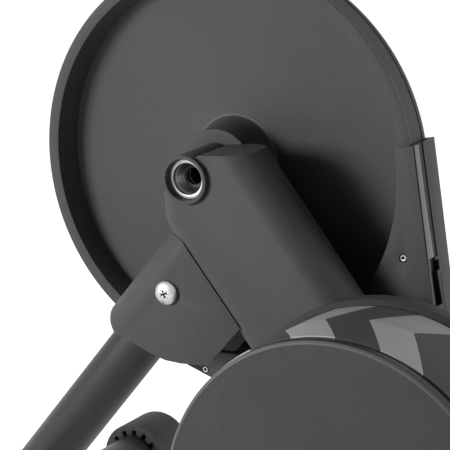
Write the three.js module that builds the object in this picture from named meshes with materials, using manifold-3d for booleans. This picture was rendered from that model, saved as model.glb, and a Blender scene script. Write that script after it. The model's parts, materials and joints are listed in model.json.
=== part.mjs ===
// Direct drive bike trainer, in millimetres, +Z up.
// The origin is the centre of the footprint on the floor. +X points to the flywheel end,
// +Y to the drive side of the bike, and the wheel axle lies along Y.
// All places are worked out from the wheel axle, and the whole part is moved at the end.
import * as THREE from 'three';
import { mergeVertices } from 'three/addons/utils/BufferGeometryUtils.js';
import Module from 'manifold-3d';

const wasm = await Module();
wasm.setup();

// Overall places
const floorClearance = 10.7;
const legPlaneY = -32.5;
const bikePlaneY = 11;
const crossbarLength = 420;

// Clearances
const gap = 0.3;
const runningGap = 0.6;
const beltGap = 0.35;
const overrun = 5;
const farAway = 400;
const weld = 0.0001;

// Wheel axle: the width between the two dropouts of the bike
const leftDropoutY = -60;
const dropoutWidth = 142;
const rightDropoutY = leftDropoutY + dropoutWidth;
const throughBoreRadius = 6.3;

// Main arm from the wheel axle to the flywheel shaft
const armAngle = THREE.MathUtils.degToRad(-50);
const shaftDistance = 262;
const armWidth = 104;
const armEndRadius = 45;
const armHalfDepth = 24;
const armEdge = 17;
const armTopRise = 17.3;
const armTopSlope = THREE.MathUtils.degToRad(6);
const armShoulderDistance = 19.9;
const armShoulderAngle = THREE.MathUtils.degToRad(177);
const armBendAlong = 23.2;
const armBendSide = -8.4;
const armBendRadius = 33.4;
const bossPocketRadius = 31;

// Leg tubes, crossbars and their caps
const tubeRadius = 20;
const tubeWall = 2.5;
const capRadius = 29.4;
const capLength = 49;
const capFlat = 1;
const capEdge = 7;
const capEndWall = 6;
const capPockets = 14;
const capPocketReach = 24.6;
const capPocketWidth = 4.4;
const capPocketDepth = 4;
const barHeight = capRadius - capFlat;
const frontLegAngle = THREE.MathUtils.degToRad(51.7);
const frontLegBarOffset = 11.7;
const frontLegTop = 14;
const rearFootTuck = 10;
const socketRadius = 25.4;
const frontSocketReach = 40;
const rearSocketReach = 8;
const socketDepth = 54;
const socketEdge = 5;
const socketSeat = 28.6;

// Leg bracket: a bent plate round the top of the front leg, welded to the arm.
// The outline gives places along the leg from its bolt and beside its axis, as shares of a length.
const bracketPlate = 2.5;
const bracketNoseSide = 9.4;
const bracketNoseRadius = 23;
const bracketLength = 100;
const bracketShares = [
  [-0.515, 0.369], [-0.566, 0.229], [-0.583, 0.149], [-0.528, -0.01], [-0.475, -0.189], [-0.424, -0.304],
  [-0.349, -0.407], [-0.199, -0.575], [0.23, -0.591], [0.393, 0.157], [0.372, 0.377],
];
const legTopAlong = 57.1;
const legTopSide = -69.2;
const legBoltSide = 0.8;
const legBoltRadius = 5;
const legBoltHeadRadius = 9.2;
const legBoltHeadHeight = 5.2;
const legBoltSocketRadius = 3.4;
const legNutRadius = 9.4;
const legNutHeight = 7;
const legWasherRadius = 11;
const legWasherThickness = 1.6;

// Big belt wheel on the hub
const wheelRadius = 155;
const wheelWidth = 26.3;
const wheelRimWidth = 8.5;
const wheelRimInner = wheelRadius - wheelRimWidth;
const wheelWallTaper = 5.3;
const wheelFloorRadius = wheelRimInner - wheelWallTaper;
const wheelFloorDepth = 19.8;
const wheelFloorFillet = 1.4;
const wheelEdge = 0.8;
const bossFaceY = -10;
const bossRadius = 28.6;
const bossRootRadius = 34.5;
const bossFlareStart = 12;
const bossFlareShare = 0.65;
const hubBackY = 30.6;
const hubBackRadius = 23;
const backRimWidth = 9;
const backRimRadius = wheelRadius - backRimWidth;
const backRimDepth = 2.4;
const hubBoreRadius = 10.2;
const bearingOuter = 14.7;
const bearingBore = 8.8;
const bearingWidth = 7;
const hubAxleRadius = 8.5;

// Belt with lengthwise ribs, and the small wheel on the flywheel shaft
const beltWidth = 16;
const beltThickness = 3.8;
const beltRibs = 4;
const beltRibDepth = 1.7;
const beltSink = 0.4;
const beltCentreY = wheelWidth / 2;
const beltStep = THREE.MathUtils.degToRad(6);
const pinionStep = THREE.MathUtils.degToRad(11);
const channelWidth = 17;
const pinionRadius = 16.5;
const pinionFlangeRadius = 20.8;
const pinionWidth = 21.5;

// Sleeve, dropout adapter and drive side end
const sleeveRadius = 18.4;
const sleeveBevel = 0.5;
const sleeveMouthRadius = 17;
const adapterSetBack = 5.4;
const adapterRadius = 14.9;
const adapterMouthRadius = 12.4;
const adapterBowlRadius = 8.4;
const adapterBowlDepth = 10.5;
const adapterLength = 15;
const freehubRadius = 17;
const freehubRoot = 15.6;
const freehubSplines = 9;
const splineGapShare = 0.4;
const freehubStart = 31.4;
const freehubFlange = 4;
const freehubFlangeRadius = 19.5;
const freehubEnd = 68.5;
const freehubBore = 13.1;
const freehubBearingInset = 2;
const endCapRadius = 9.5;
const endCapFlangeRadius = 12.4;
const endCapFlange = 2.4;
const hubAxleEnd = 68.9;

// Flywheel, its front cover and the brake housing behind it
const housingRadius = 133.6;
const drumStep = 3.9;
const drumRadius = housingRadius - drumStep;
const drumRimWall = 17;
const drumFarY = -64.6;
const drumNearY = -146.5;
const drumWeb = 9;
const drumHubRadius = 22;
const drumHubLength = 32;
const drumBevel = 0.9;
const coverStep = 0.9;
const coverRadius = drumRadius - coverStep;
const coverDepth = 10.2;
const coverBevel = 2.4;
const coverWall = 2.6;
const coverPosts = 3;
const coverPostRadius = 6;
const coverPostCircle = 80;
const shaftNutRadius = 12;
const shaftNutHeight = 4.6;
const housingDepth = 15.4;
const housingBackY = -48;
const housingBevel = 3;
const housingWall = 4;
const housingFloor = 3.2;
const housingHole = 22;
const coreInner = 28;
const coreOuter = 48;
const coreLength = 58;
const corePoles = 6;
const poleWidth = 24;
const poleInset = 26.2;
const poleReach = drumRadius - poleInset;
const poleLength = 36;
const coilWall = 7;
const coilInnerReach = 55;
const coilInset = 14.5;
const coilHeight = poleReach - coilInset - coilInnerReach;
const eddyRingWall = 5;
const eddyRingLength = 60;
const eddyRingStart = 8;
const boardInner = 56;
const boardInset = 11.6;
const boardOuter = housingRadius - boardInset;
const boardThickness = 1.6;
const boardLift = 0.3;
const boardSweep = THREE.MathUtils.degToRad(200);
const shaftRadius = 7.7;
const shaftBearingOuter = 17.5;
const shaftBearingWidth = 11;
const housingScrews = 3;
const housingScrewCircle = 37;
const housingScrewRadius = 3;
const housingScrewHead = 5;
const housingScrewHeadHeight = 3;
const housingScrewBite = 10;

// Belt guard in two shells
const guardRise = 4.8;
const guardShellRise = 5.6;
const guardSheet = 2.2;
const guardNearY = -6;
const guardLip = 7.4;
const guardBackY = 31.2;
const guardOverlap = 10.4;
const guardCutRadius = wheelRadius - guardOverlap;
const guardRightLead = 10;
const guardLeftLead = 15.6;
const guardScrewRadius = 1.5;
const guardScrewHead = 2.9;
const guardScrewHeadHeight = 1.6;
const guardScrewLength = 9;
const guardPostRadius = 3;
const guardPostStep = 4.2;
const guardPostTurn = THREE.MathUtils.degToRad(27.7);
const guardShaftClear = 1.8;
const guardPadRadius = 6;
const guardPadStep = 41;
const guardPadSides = [26, -22];
const guardPadScrewBite = 8;

// Idler roller that keeps the belt tight, on an adjustable bracket
const idlerRadius = 10;
const idlerWidth = 18;
const idlerRunShare = 0.427;
const idlerAlongRun = shaftDistance * idlerRunShare;
const idlerPinRadius = 4;
const idlerPlate = 2;
const idlerPlateRadius = 8;
const idlerAnchorStep = 21;
const idlerAnchorSide = -36;
const idlerScrewRadius = 2.5;
const idlerScrewHead = 4.6;
const idlerScrewHeadHeight = 2.6;

// Power inlet on the far side of the brake housing
const inletWidth = 17;
const inletDepth = 9;
const inletInset = 29.6;
const inletHoleRadius = 6;
const inletHoleDepth = 7;
const inletPinRadius = 1;

// Segment counts round a circle
const beltRound = 32;
const fineRound = 32;
const round = 20;
const smallRound = 12;
const tinyRound = 8;

// Colours and finishes
const finishes = {
  graphite: { color: 0x5a5a5b, roughness: 0.62, metalness: 0.15 },
  graphiteDark: { color: 0x3c3c3d, roughness: 0.7, metalness: 0.1 },
  blackPlastic: { color: 0x1d1d1e, roughness: 0.6, metalness: 0 },
  belt: { color: 0x3a3a3b, roughness: 0.8, metalness: 0 },
  steel: { color: 0xd4d4d2, roughness: 0.3, metalness: 0.9 },
  iron: { color: 0x77777a, roughness: 0.5, metalness: 0.6 },
  copper: { color: 0xb0703a, roughness: 0.4, metalness: 0.8 },
  board: { color: 0x24502f, roughness: 0.6, metalness: 0 },
};

// Solids and booleans

function solidOf(geometry) {
  const plain = geometry.clone();
  plain.deleteAttribute('normal');
  plain.deleteAttribute('uv');
  const merged = mergeVertices(plain, weld);
  return new wasm.Manifold(new wasm.Mesh({
    numProp: 3,
    vertProperties: new Float32Array(merged.attributes.position.array),
    triVerts: new Uint32Array(merged.index.array),
  }));
}

function geometryOf(solid) {
  const mesh = solid.getMesh();
  const geometry = new THREE.BufferGeometry();
  geometry.setAttribute('position', new THREE.BufferAttribute(new Float32Array(mesh.vertProperties), 3));
  geometry.setIndex(new THREE.BufferAttribute(new Uint32Array(mesh.triVerts), 1));
  return geometry;
}

function cut(base, ...tools) {
  return geometryOf(tools.reduce((solid, tool) => solid.subtract(solidOf(tool)), solidOf(base)));
}

function join(base, ...others) {
  return geometryOf(others.reduce((solid, other) => solid.add(solidOf(other)), solidOf(base)));
}

function common(base, ...others) {
  return geometryOf(others.reduce((solid, other) => solid.intersect(solidOf(other)), solidOf(base)));
}

// Turns the faces round if the solid is inside out
function facingOut(geometry) {
  const plain = geometry.index ? geometry.toNonIndexed() : geometry;
  const p = plain.attributes.position;
  const [a, b, c] = [new THREE.Vector3(), new THREE.Vector3(), new THREE.Vector3()];
  let volume = 0;
  for (let i = 0; i < p.count; i += 3) {
    a.fromBufferAttribute(p, i);
    b.fromBufferAttribute(p, i + 1);
    c.fromBufferAttribute(p, i + 2);
    volume += a.dot(b.cross(c));
  }
  if (volume >= 0) return geometry;
  const flipped = geometry.clone();
  const index = flipped.index ? flipped.index.array : [...Array(p.count).keys()];
  const turned = [];
  for (let i = 0; i < index.length; i += 3) turned.push(index[i], index[i + 2], index[i + 1]);
  flipped.setIndex(turned);
  return flipped;
}

// A shape revolved about the Y axis from points [radius, y]
function revolve(points, segments = round) {
  const outline = points.map(([radius, y]) => new THREE.Vector2(radius, y));
  if (points[0][0] > 0) outline.push(outline[0].clone());
  return facingOut(new THREE.LatheGeometry(outline, segments));
}

// A ring about the Y axis from y0 to y1, or a disc where the inner radius is zero
function ring(outer, inner, y0, y1, segments = round) {
  return revolve([[inner, y0], [outer, y0], [outer, y1], [inner, y1]], segments);
}

function moved(geometry, [x, z], y = 0) {
  return geometry.clone().translate(x, y, z);
}

// A flat outline in X and Z given thickness along Y from y0 to y1
function plate(outline, y0, y1) {
  const shape = new THREE.Shape(outline.map(([x, z]) => new THREE.Vector2(x, z)));
  const geometry = new THREE.ExtrudeGeometry(shape, { depth: y1 - y0, bevelEnabled: false, steps: 1 });
  return geometry.rotateX(Math.PI / 2).translate(0, y1, 0);
}

// The hull of circles [x, z, radius] as a convex outline, drawn in by an inset
function hullOutline(circles, inset, segments) {
  const points = [];
  for (let i = 0; i < segments; i += 1) {
    const angle = (2 * Math.PI * i) / segments;
    const [nx, nz] = [Math.cos(angle), Math.sin(angle)];
    const reach = circles.map(([x, z, radius]) => x * nx + z * nz + radius);
    const [x, z, radius] = circles[reach.indexOf(Math.max(...reach))];
    points.push([x + (radius - inset) * nx, z + (radius - inset) * nz]);
  }
  return points;
}

// The hull of circles with thickness along Y and its edges rounded
function pillow(circles, y0, y1, edge, segments = round, steps = 3) {
  const layers = [];
  for (let i = 0; i <= steps; i += 1) {
    const angle = (Math.PI / 2) * (i / steps);
    layers.push([y0 + edge * (1 - Math.cos(angle)), edge * (1 - Math.sin(angle))]);
  }
  for (let i = steps; i >= 0; i -= 1) {
    const angle = (Math.PI / 2) * (i / steps);
    layers.push([y1 - edge * (1 - Math.cos(angle)), edge * (1 - Math.sin(angle))]);
  }
  const positions = [];
  for (const [y, inset] of layers) {
    for (const [x, z] of hullOutline(circles, inset, segments)) positions.push(x, y, z);
  }
  const index = [];
  for (let r = 0; r < layers.length - 1; r += 1) {
    for (let i = 0; i < segments; i += 1) {
      const j = (i + 1) % segments;
      const [a, b] = [r * segments + i, r * segments + j];
      index.push(a, a + segments, b, b, a + segments, b + segments);
    }
  }
  const last = (layers.length - 1) * segments;
  for (let i = 1; i < segments - 1; i += 1) {
    index.push(0, i, i + 1, last, last + i + 1, last + i);
  }
  const geometry = new THREE.BufferGeometry();
  geometry.setAttribute('position', new THREE.Float32BufferAttribute(positions, 3));
  geometry.setIndex(index);
  return facingOut(geometry);
}

// A cylinder from one point to another
function rod(from, to, radius, segments = smallRound) {
  const start = new THREE.Vector3(...from);
  const axis = new THREE.Vector3(...to).sub(start);
  const geometry = new THREE.CylinderGeometry(radius, radius, axis.length(), segments);
  const up = new THREE.Vector3(0, 1, 0);
  geometry.applyQuaternion(new THREE.Quaternion().setFromUnitVectors(up, axis.clone().normalize()));
  const middle = start.addScaledVector(axis, 1 / 2);
  return geometry.translate(middle.x, middle.y, middle.z);
}

// A screw along Y with its head on the near side: y = 0 is the underside of the head
function screw(headRadius, headHeight, shankRadius, length, socketRadius, segments = tinyRound) {
  const crown = -headHeight;
  const sink = crown + headHeight / 2;
  return revolve([
    [0, sink], [socketRadius, sink], [socketRadius, crown], [(headRadius + socketRadius) / 2, crown],
    [headRadius, crown / 2], [headRadius, 0], [shankRadius, 0], [shankRadius, length], [0, length],
  ], segments);
}

// Places along the arm and the legs, as [x, z] from the wheel axle

function along(origin, angle, distance, side) {
  return [
    origin[0] + Math.cos(angle) * distance - Math.sin(angle) * side,
    origin[1] + Math.sin(angle) * distance + Math.cos(angle) * side,
  ];
}

const axle = [0, 0];
const onArm = (distance, side) => along(axle, armAngle, distance, side);
const shaft = onArm(shaftDistance, 0);
const axleHeight = floorClearance + housingRadius - shaft[1];
const barZ = barHeight - axleHeight;
const rearFootReach = shaft[0] + housingRadius - rearFootTuck;
const rearBar = [rearFootReach, barZ];
const legTop = onArm(legTopAlong, legTopSide);
const onFrontLeg = (station, side) => along(legTop, frontLegAngle, station, side);
const legFoot = (barZ - legTop[1]) / Math.sin(frontLegAngle);
const frontBar = [onFrontLeg(legFoot, 0)[0] + frontLegBarOffset, barZ];
const onFrontFoot = (station, side) => onFrontLeg(legFoot + station, side);
const frontFootReach = -frontBar[0];
const rearLegAngle = Math.atan2(shaft[1] - rearBar[1], shaft[0] - rearBar[0]);
const rearLegLength = Math.hypot(shaft[0] - rearBar[0], shaft[1] - rearBar[1]);
const onRearLeg = (station, side) => along(rearBar, rearLegAngle, station, side);
const at = ([x, z], y) => [x, y, z];
const shareOf = (length, shares) => shares.map((share) => length * share);

// Scene graph

const trainer = new THREE.Group();
trainer.position.set((frontFootReach - rearFootReach) / 2, -bikePlaneY, axleHeight);

function piece(name, geometry, finish) {
  const mesh = new THREE.Mesh(geometry, new THREE.MeshStandardMaterial(finishes[finish]));
  mesh.name = name;
  trainer.add(mesh);
  return mesh;
}

// Main arm with its cradle for the sleeve and its seat for the flywheel shaft

const armNearY = legPlaneY - armHalfDepth;
const armFarY = legPlaneY + armHalfDepth;

function armBody(grow) {
  const half = armWidth / 2;
  const depth = armHalfDepth + grow;
  const circles = [
    [...shaft, armEndRadius + grow],
    [...onArm(-half, half - armHalfDepth), armHalfDepth + grow],
    [...onArm(armBendAlong, armBendSide), armBendRadius + grow],
  ];
  return pillow(circles, legPlaneY - depth, legPlaneY + depth, armEdge, fineRound);
}

// Everything beyond a line, given the line's distance from the axle and the angle of its normal
function beyond(distance, angle) {
  return plate([
    along(axle, angle, distance, -farAway), along(axle, angle, farAway, -farAway),
    along(axle, angle, farAway, farAway), along(axle, angle, distance, farAway),
  ], -farAway, farAway);
}

function shaftHole(radius, y0, y1, segments = smallRound) {
  return moved(ring(radius, 0, y0, y1, segments), shaft);
}

function circleOfPlaces(centre, radius, count, start) {
  return [...Array(count).keys()].map((i) => along(centre, start + (2 * Math.PI * i) / count, radius, 0));
}

// Round holes along Y at several places
function holes(places, radius, y0 = -farAway, y1 = farAway) {
  return places.map((place) => moved(ring(radius, 0, y0, y1, tinyRound), place));
}

const legBolt = onFrontLeg(0, legBoltSide);
const housingScrewPlaces = circleOfPlaces(
  shaft, housingScrewCircle, housingScrews, armAngle + Math.PI / housingScrews,
);
const guardPads = guardPadSides.map((side) => onArm(wheelRadius + guardPadStep, side));
const idlerAnchorPlace = onArm(wheelRadius + idlerAnchorStep, idlerAnchorSide);
const farScrewPlaces = [...guardPads, idlerAnchorPlace];

piece('main_arm', cut(
  armBody(0),
  beyond(armTopRise * Math.cos(armTopSlope), armTopSlope + Math.PI / 2),
  beyond(armShoulderDistance, armShoulderAngle),
  ring(sleeveRadius + gap, 0, -farAway, armFarY + overrun),
  ring(bossPocketRadius, 0, bossFaceY - runningGap, armFarY + overrun),
  shaftHole(shaftBearingOuter + gap, armNearY - overrun, armFarY + overrun),
  ...holes(housingScrewPlaces, housingScrewRadius + gap, armNearY - overrun, armNearY + housingScrewBite + gap),
  ...holes(farScrewPlaces, idlerScrewRadius + gap, armFarY - guardPadScrewBite - gap, armFarY + overrun),
), 'graphite');

// Sleeve for the left dropout, its silver adapter and the hub axle

const adapterStart = leftDropoutY + adapterSetBack;
const adapterEnd = adapterStart + adapterLength;

piece('axle_sleeve', revolve([
  [sleeveMouthRadius, leftDropoutY],
  [sleeveRadius - sleeveBevel, leftDropoutY],
  [sleeveRadius, leftDropoutY + sleeveBevel],
  [sleeveRadius, bossFaceY - runningGap],
  [hubAxleRadius + gap, bossFaceY - runningGap],
  [hubAxleRadius + gap, adapterEnd + gap],
  [adapterRadius + gap, adapterEnd + gap],
  [adapterRadius + gap, adapterStart],
]), 'graphiteDark');

piece('dropout_adapter', revolve([
  [adapterRadius, adapterStart],
  [adapterRadius, adapterEnd],
  [throughBoreRadius, adapterEnd],
  [throughBoreRadius, adapterStart + adapterBowlDepth],
  [adapterBowlRadius, adapterStart + adapterBowlDepth],
  [adapterMouthRadius, adapterStart],
]), 'steel');

piece('hub_axle', ring(hubAxleRadius, throughBoreRadius, adapterEnd + gap, hubAxleEnd, smallRound), 'steel');

// Big belt wheel with its hub

const beltSeat = wheelRadius - beltSink - (beltThickness - beltRibDepth) - beltGap;

// The ribs of a belt or the grooves of its wheel, as [radius, y] from one side to the other
function ribbed(radius) {
  const pitch = beltWidth / beltRibs;
  const points = [];
  for (let i = 0; i < beltRibs; i += 1) {
    const y = beltCentreY - beltWidth / 2 + i * pitch;
    points.push([radius, y], [radius - beltRibDepth, y + pitch / 2]);
  }
  points.push([radius, beltCentreY + beltWidth / 2]);
  return points;
}

const nearPocketEnd = bossFaceY + gap + bearingWidth + gap;
const farPocketEnd = hubBackY - gap - bearingWidth - gap;
const channelNear = beltCentreY - channelWidth / 2;
const channelFar = beltCentreY + channelWidth / 2;

piece('drive_wheel', revolve([
  [bearingOuter + gap, bossFaceY],
  [bossRadius, bossFaceY],
  [bossRadius, bossFlareStart],
  [
    bossRadius + (bossRootRadius - bossRadius) * (1 - bossFlareShare),
    bossFlareStart + (wheelFloorDepth - bossFlareStart) * bossFlareShare,
  ],
  [bossRootRadius, wheelFloorDepth],
  [wheelFloorRadius - wheelFloorFillet, wheelFloorDepth],
  [wheelFloorRadius, wheelFloorDepth - wheelFloorFillet],
  [wheelRimInner, 0],
  [wheelRadius - wheelEdge, 0],
  [wheelRadius, wheelEdge],
  [wheelRadius, channelNear],
  [beltSeat, channelNear],
  ...ribbed(beltSeat),
  [beltSeat, channelFar],
  [wheelRadius, channelFar],
  [wheelRadius, wheelWidth - wheelEdge],
  [wheelRadius - wheelEdge, wheelWidth],
  [backRimRadius, wheelWidth],
  [backRimRadius, wheelWidth - backRimDepth],
  [hubBackRadius, wheelWidth],
  [hubBackRadius, hubBackY],
  [bearingOuter + gap, hubBackY],
  [bearingOuter + gap, farPocketEnd],
  [hubBoreRadius, farPocketEnd],
  [hubBoreRadius, nearPocketEnd],
  [bearingOuter + gap, nearPocketEnd],
], beltRound), 'graphite');

const hubBearingStarts = { near: bossFaceY + gap, far: hubBackY - gap - bearingWidth };
for (const [side, start] of Object.entries(hubBearingStarts)) {
  const bearing = ring(bearingOuter, bearingBore, start, start + bearingWidth, smallRound);
  piece(`hub_bearing_${side}`, bearing, 'steel');
}

// Belt: a ribbed strip swept round both wheels

const wrapAngle = Math.acos((beltSeat - pinionRadius) / shaftDistance);
const rightNormal = armAngle + wrapAngle;
const leftNormal = armAngle - wrapAngle;

// Stations of the belt's loop as [centre, seat radius, angle], in order round the loop
function beltStations() {
  const stations = [];
  const bigSweep = 2 * Math.PI - 2 * wrapAngle;
  const bigCount = Math.round(bigSweep / beltStep);
  for (let i = 0; i <= bigCount; i += 1) {
    stations.push([axle, beltSeat, rightNormal + (bigSweep * i) / bigCount]);
  }
  const smallSweep = 2 * wrapAngle;
  const smallCount = Math.round(smallSweep / pinionStep);
  for (let i = 0; i <= smallCount; i += 1) {
    stations.push([shaft, pinionRadius, leftNormal + (smallSweep * i) / smallCount]);
  }
  return stations;
}

function belt() {
  const section = ribbed(beltGap);
  const back = beltGap + beltThickness - beltRibDepth;
  section.push([back, beltCentreY + beltWidth / 2], [back, beltCentreY - beltWidth / 2]);
  const stations = beltStations();
  const positions = [];
  for (const [centre, seat, angle] of stations) {
    for (const [rise, y] of section) positions.push(...at(along(centre, angle, seat + rise, 0), y));
  }
  const index = [];
  const width = section.length;
  for (let s = 0; s < stations.length; s += 1) {
    const next = (s + 1) % stations.length;
    for (let i = 0; i < width; i += 1) {
      const j = (i + 1) % width;
      const [a, b, c, d] = [s * width + i, s * width + j, next * width + i, next * width + j];
      index.push(a, b, c, b, d, c);
    }
  }
  const geometry = new THREE.BufferGeometry();
  geometry.setAttribute('position', new THREE.Float32BufferAttribute(positions, 3));
  geometry.setIndex(index);
  return facingOut(geometry);
}

piece('drive_belt', belt(), 'belt');

// Freehub body with straight splines, its bearings and the drive side end cap

function splinedOutline() {
  const points = [];
  const pitch = (2 * Math.PI) / freehubSplines;
  for (let i = 0; i < freehubSplines; i += 1) {
    const start = i * pitch;
    const land = start + pitch * splineGapShare;
    const end = start + pitch;
    for (const angle of [start, (start + land) / 2, land]) points.push(along(axle, angle, freehubRoot, 0));
    for (const angle of [land, (land + end) / 2, end]) points.push(along(axle, angle, freehubRadius, 0));
  }
  return points;
}

piece('freehub_body', cut(
  join(
    plate(splinedOutline(), freehubStart + freehubFlange / 2, freehubEnd),
    ring(freehubFlangeRadius, 0, freehubStart, freehubStart + freehubFlange),
  ),
  ring(freehubBore, 0, freehubStart - overrun, freehubEnd + overrun),
), 'steel');

const freehubBearingStarts = {
  inner: freehubStart + freehubBearingInset,
  outer: freehubEnd - freehubBearingInset - bearingWidth,
};
for (const [side, start] of Object.entries(freehubBearingStarts)) {
  const bearing = ring(freehubBore - gap, bearingBore, start, start + bearingWidth, smallRound);
  piece(`freehub_bearing_${side}`, bearing, 'steel');
}

const endCapStart = freehubEnd + runningGap + gap;

piece('drive_end_cap', revolve([
  [throughBoreRadius, endCapStart],
  [endCapFlangeRadius, endCapStart],
  [endCapFlangeRadius, endCapStart + endCapFlange],
  [endCapRadius, endCapStart + endCapFlange],
  [endCapRadius, rightDropoutY],
  [throughBoreRadius, rightDropoutY],
], smallRound), 'steel');

// Front leg, its bracket and the through bolt

const bracketNearY = legPlaneY - bracketNoseRadius;
const bracketFarY = legPlaneY + bracketNoseRadius;

function noseArc(radius, steps = 8) {
  const angles = [...Array(steps + 1).keys()].map((i) => -Math.PI / 2 + (Math.PI * i) / steps);
  return angles.map((angle) => [bracketNoseSide + radius * Math.cos(angle), radius * Math.sin(angle)]);
}

function legBracket() {
  const inner = bracketNoseRadius - bracketPlate;
  const section = [
    [-armWidth, -bracketNoseRadius], ...noseArc(bracketNoseRadius), [-armWidth, bracketNoseRadius],
    [-armWidth, inner], ...noseArc(inner).reverse(), [-armWidth, -inner],
  ];
  const shape = new THREE.Shape(section.map(([side, y]) => new THREE.Vector2(side, y)));
  const bent = new THREE.ExtrudeGeometry(shape, { depth: farAway, bevelEnabled: false, steps: 1 });
  const [cos, sin] = [Math.cos(frontLegAngle), Math.sin(frontLegAngle)];
  bent.applyMatrix4(new THREE.Matrix4().set(
    -sin, 0, cos, legTop[0] - cos * farAway / 2,
    0, 1, 0, legPlaneY,
    cos, 0, sin, legTop[1] - sin * farAway / 2,
    0, 0, 0, 1,
  ));
  const outline = bracketShares.map((place) => onFrontLeg(...shareOf(bracketLength, place)));
  return cut(
    common(facingOut(bent), plate(outline, bracketNearY - overrun, bracketFarY + overrun)),
    armBody(gap),
    rod(at(legBolt, -farAway), at(legBolt, farAway), legBoltRadius + gap),
  );
}

piece('leg_bracket', legBracket(), 'graphite');

function hollowLeg(from, to, ...tools) {
  const start = new THREE.Vector3(...from);
  const end = new THREE.Vector3(...to);
  const out = end.clone().sub(start).normalize().multiplyScalar(overrun);
  const bore = rod(start.clone().sub(out).toArray(), end.clone().add(out).toArray(), tubeRadius - tubeWall);
  return cut(rod(from, to, tubeRadius, round), bore, ...tools);
}

piece('front_leg', hollowLeg(
  at(onFrontFoot(socketSeat, 0), legPlaneY),
  at(onFrontLeg(frontLegTop, 0), legPlaneY),
  rod(at(legBolt, -farAway), at(legBolt, farAway), legBoltRadius + gap),
), 'graphite');

const legWasherStart = bracketFarY + gap;
const legNutStart = legWasherStart + legWasherThickness + gap;
const legNutEnd = legNutStart + legNutHeight;

piece('leg_bolt', moved(screw(
  legBoltHeadRadius, legBoltHeadHeight, legBoltRadius, legNutEnd - bracketNearY, legBoltSocketRadius, smallRound,
), legBolt, bracketNearY - gap), 'steel');

piece('leg_washer', moved(
  ring(legWasherRadius, legBoltRadius + gap, legWasherStart, legWasherStart + legWasherThickness, smallRound),
  legBolt,
), 'steel');

piece('leg_nut', moved(cut(
  ring(legNutRadius, 0, legNutStart, legNutEnd, 6),
  ring(legBoltRadius + gap, 0, legNutStart - overrun, legNutEnd + overrun, smallRound),
), legBolt), 'steel');

// Rear leg, shaped to the end of the arm

piece('rear_leg', hollowLeg(
  at(onRearLeg(socketSeat, 0), legPlaneY),
  at(onRearLeg(rearLegLength - armEndRadius / 2, 0), legPlaneY),
  armBody(gap),
), 'graphite');

// Foot sockets, crossbars and caps

function footSocket(bar, onLeg, reach) {
  const circles = [[...bar, socketRadius], [...onLeg(reach, 0), socketRadius]];
  const [y0, y1] = [legPlaneY - socketDepth / 2, legPlaneY + socketDepth / 2];
  return cut(
    pillow(circles, y0, y1, socketEdge, round, 2),
    rod(at(bar, -farAway), at(bar, farAway), tubeRadius + gap, round),
    rod(at(onLeg(socketSeat - gap, 0), legPlaneY), at(onLeg(farAway, 0), legPlaneY), tubeRadius + gap, round),
  );
}

piece('front_socket', footSocket(frontBar, onFrontFoot, frontSocketReach), 'graphite');
piece('rear_socket', footSocket(rearBar, onRearLeg, rearSocketReach), 'graphite');

const barNearY = bikePlaneY - crossbarLength / 2;
const barFarY = bikePlaneY + crossbarLength / 2;
const bars = { front: frontBar, rear: rearBar };

// A cap whose closed end is at y = 0, with a ring of pockets in its mouth at y = capLength
function footCap() {
  const body = revolve([
    [0, 0],
    [capRadius - capEdge, 0],
    [capRadius - capEdge / 4, capEdge / 4],
    [capRadius, capEdge],
    [capRadius, capLength],
    [tubeRadius + gap, capLength],
    [tubeRadius + gap, capEndWall],
    [0, capEndWall],
  ]);
  const pockets = [...Array(capPockets).keys()].map((i) => {
    const angle = (2 * Math.PI * (i + 1 / 2)) / capPockets;
    const [inner, outer, half] = [tubeRadius - gap, capPocketReach, capPocketWidth / 2];
    return plate([
      along(axle, angle, inner, -half), along(axle, angle, outer, -half),
      along(axle, angle, outer, half), along(axle, angle, inner, half),
    ], capLength - capPocketDepth, capLength + overrun);
  });
  const sole = plate([
    [-farAway, -farAway], [farAway, -farAway], [farAway, -barHeight], [-farAway, -barHeight],
  ], -overrun, capLength + overrun);
  return cut(body, ...pockets, sole);
}

const cap = footCap();
const mirroredCap = facingOut(cap.clone().scale(1, -1, 1));

for (const [end, bar] of Object.entries(bars)) {
  const seat = capEndWall + gap;
  piece(`${end}_crossbar`, moved(
    ring(tubeRadius, tubeRadius - tubeWall, barNearY + seat, barFarY - seat), bar,
  ), 'graphite');
  piece(`${end}_cap_near`, moved(cap, bar, barNearY), 'blackPlastic');
  piece(`${end}_cap_far`, moved(mirroredCap, bar, barFarY), 'blackPlastic');
}

// Brake housing, core, coils and circuit board

const housingSeat = armNearY - gap;
const housingFront = housingBackY - housingDepth;
const housingInside = housingSeat - housingFloor;
const coreStart = housingInside - gap;
const coreEnd = coreStart - coreLength;
const housingScrewHoles = holes(housingScrewPlaces, housingScrewRadius + gap);

piece('brake_housing', cut(
  moved(revolve([
    [housingHole, housingSeat],
    [housingRadius - housingWall, housingSeat],
    [housingRadius - housingWall, housingBackY],
    [housingRadius, housingBackY],
    [housingRadius, housingFront + housingBevel],
    [housingRadius - housingBevel, housingFront],
    [housingRadius - housingWall, housingFront],
    [housingRadius - housingWall, housingInside],
    [housingHole, housingInside],
  ], fineRound), shaft),
  armBody(gap),
  rod(at(rearBar, legPlaneY), at(shaft, legPlaneY), tubeRadius + runningGap, round),
  ...housingScrewHoles,
), 'graphiteDark');

// A box reaching outward from the shaft at an angle
function radialBox(angle, reach0, reach1, width, y0, y1) {
  return plate([
    along(shaft, angle, reach0, -width / 2), along(shaft, angle, reach1, -width / 2),
    along(shaft, angle, reach1, width / 2), along(shaft, angle, reach0, width / 2),
  ], y0, y1);
}

const poleMiddle = coreEnd + poleLength / 2;
const poleAngles = [...Array(corePoles).keys()].map((i) => armAngle + (Math.PI / corePoles) * (2 * i + 1));
const poleRoot = (coreInner + coreOuter) / 2;

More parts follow.
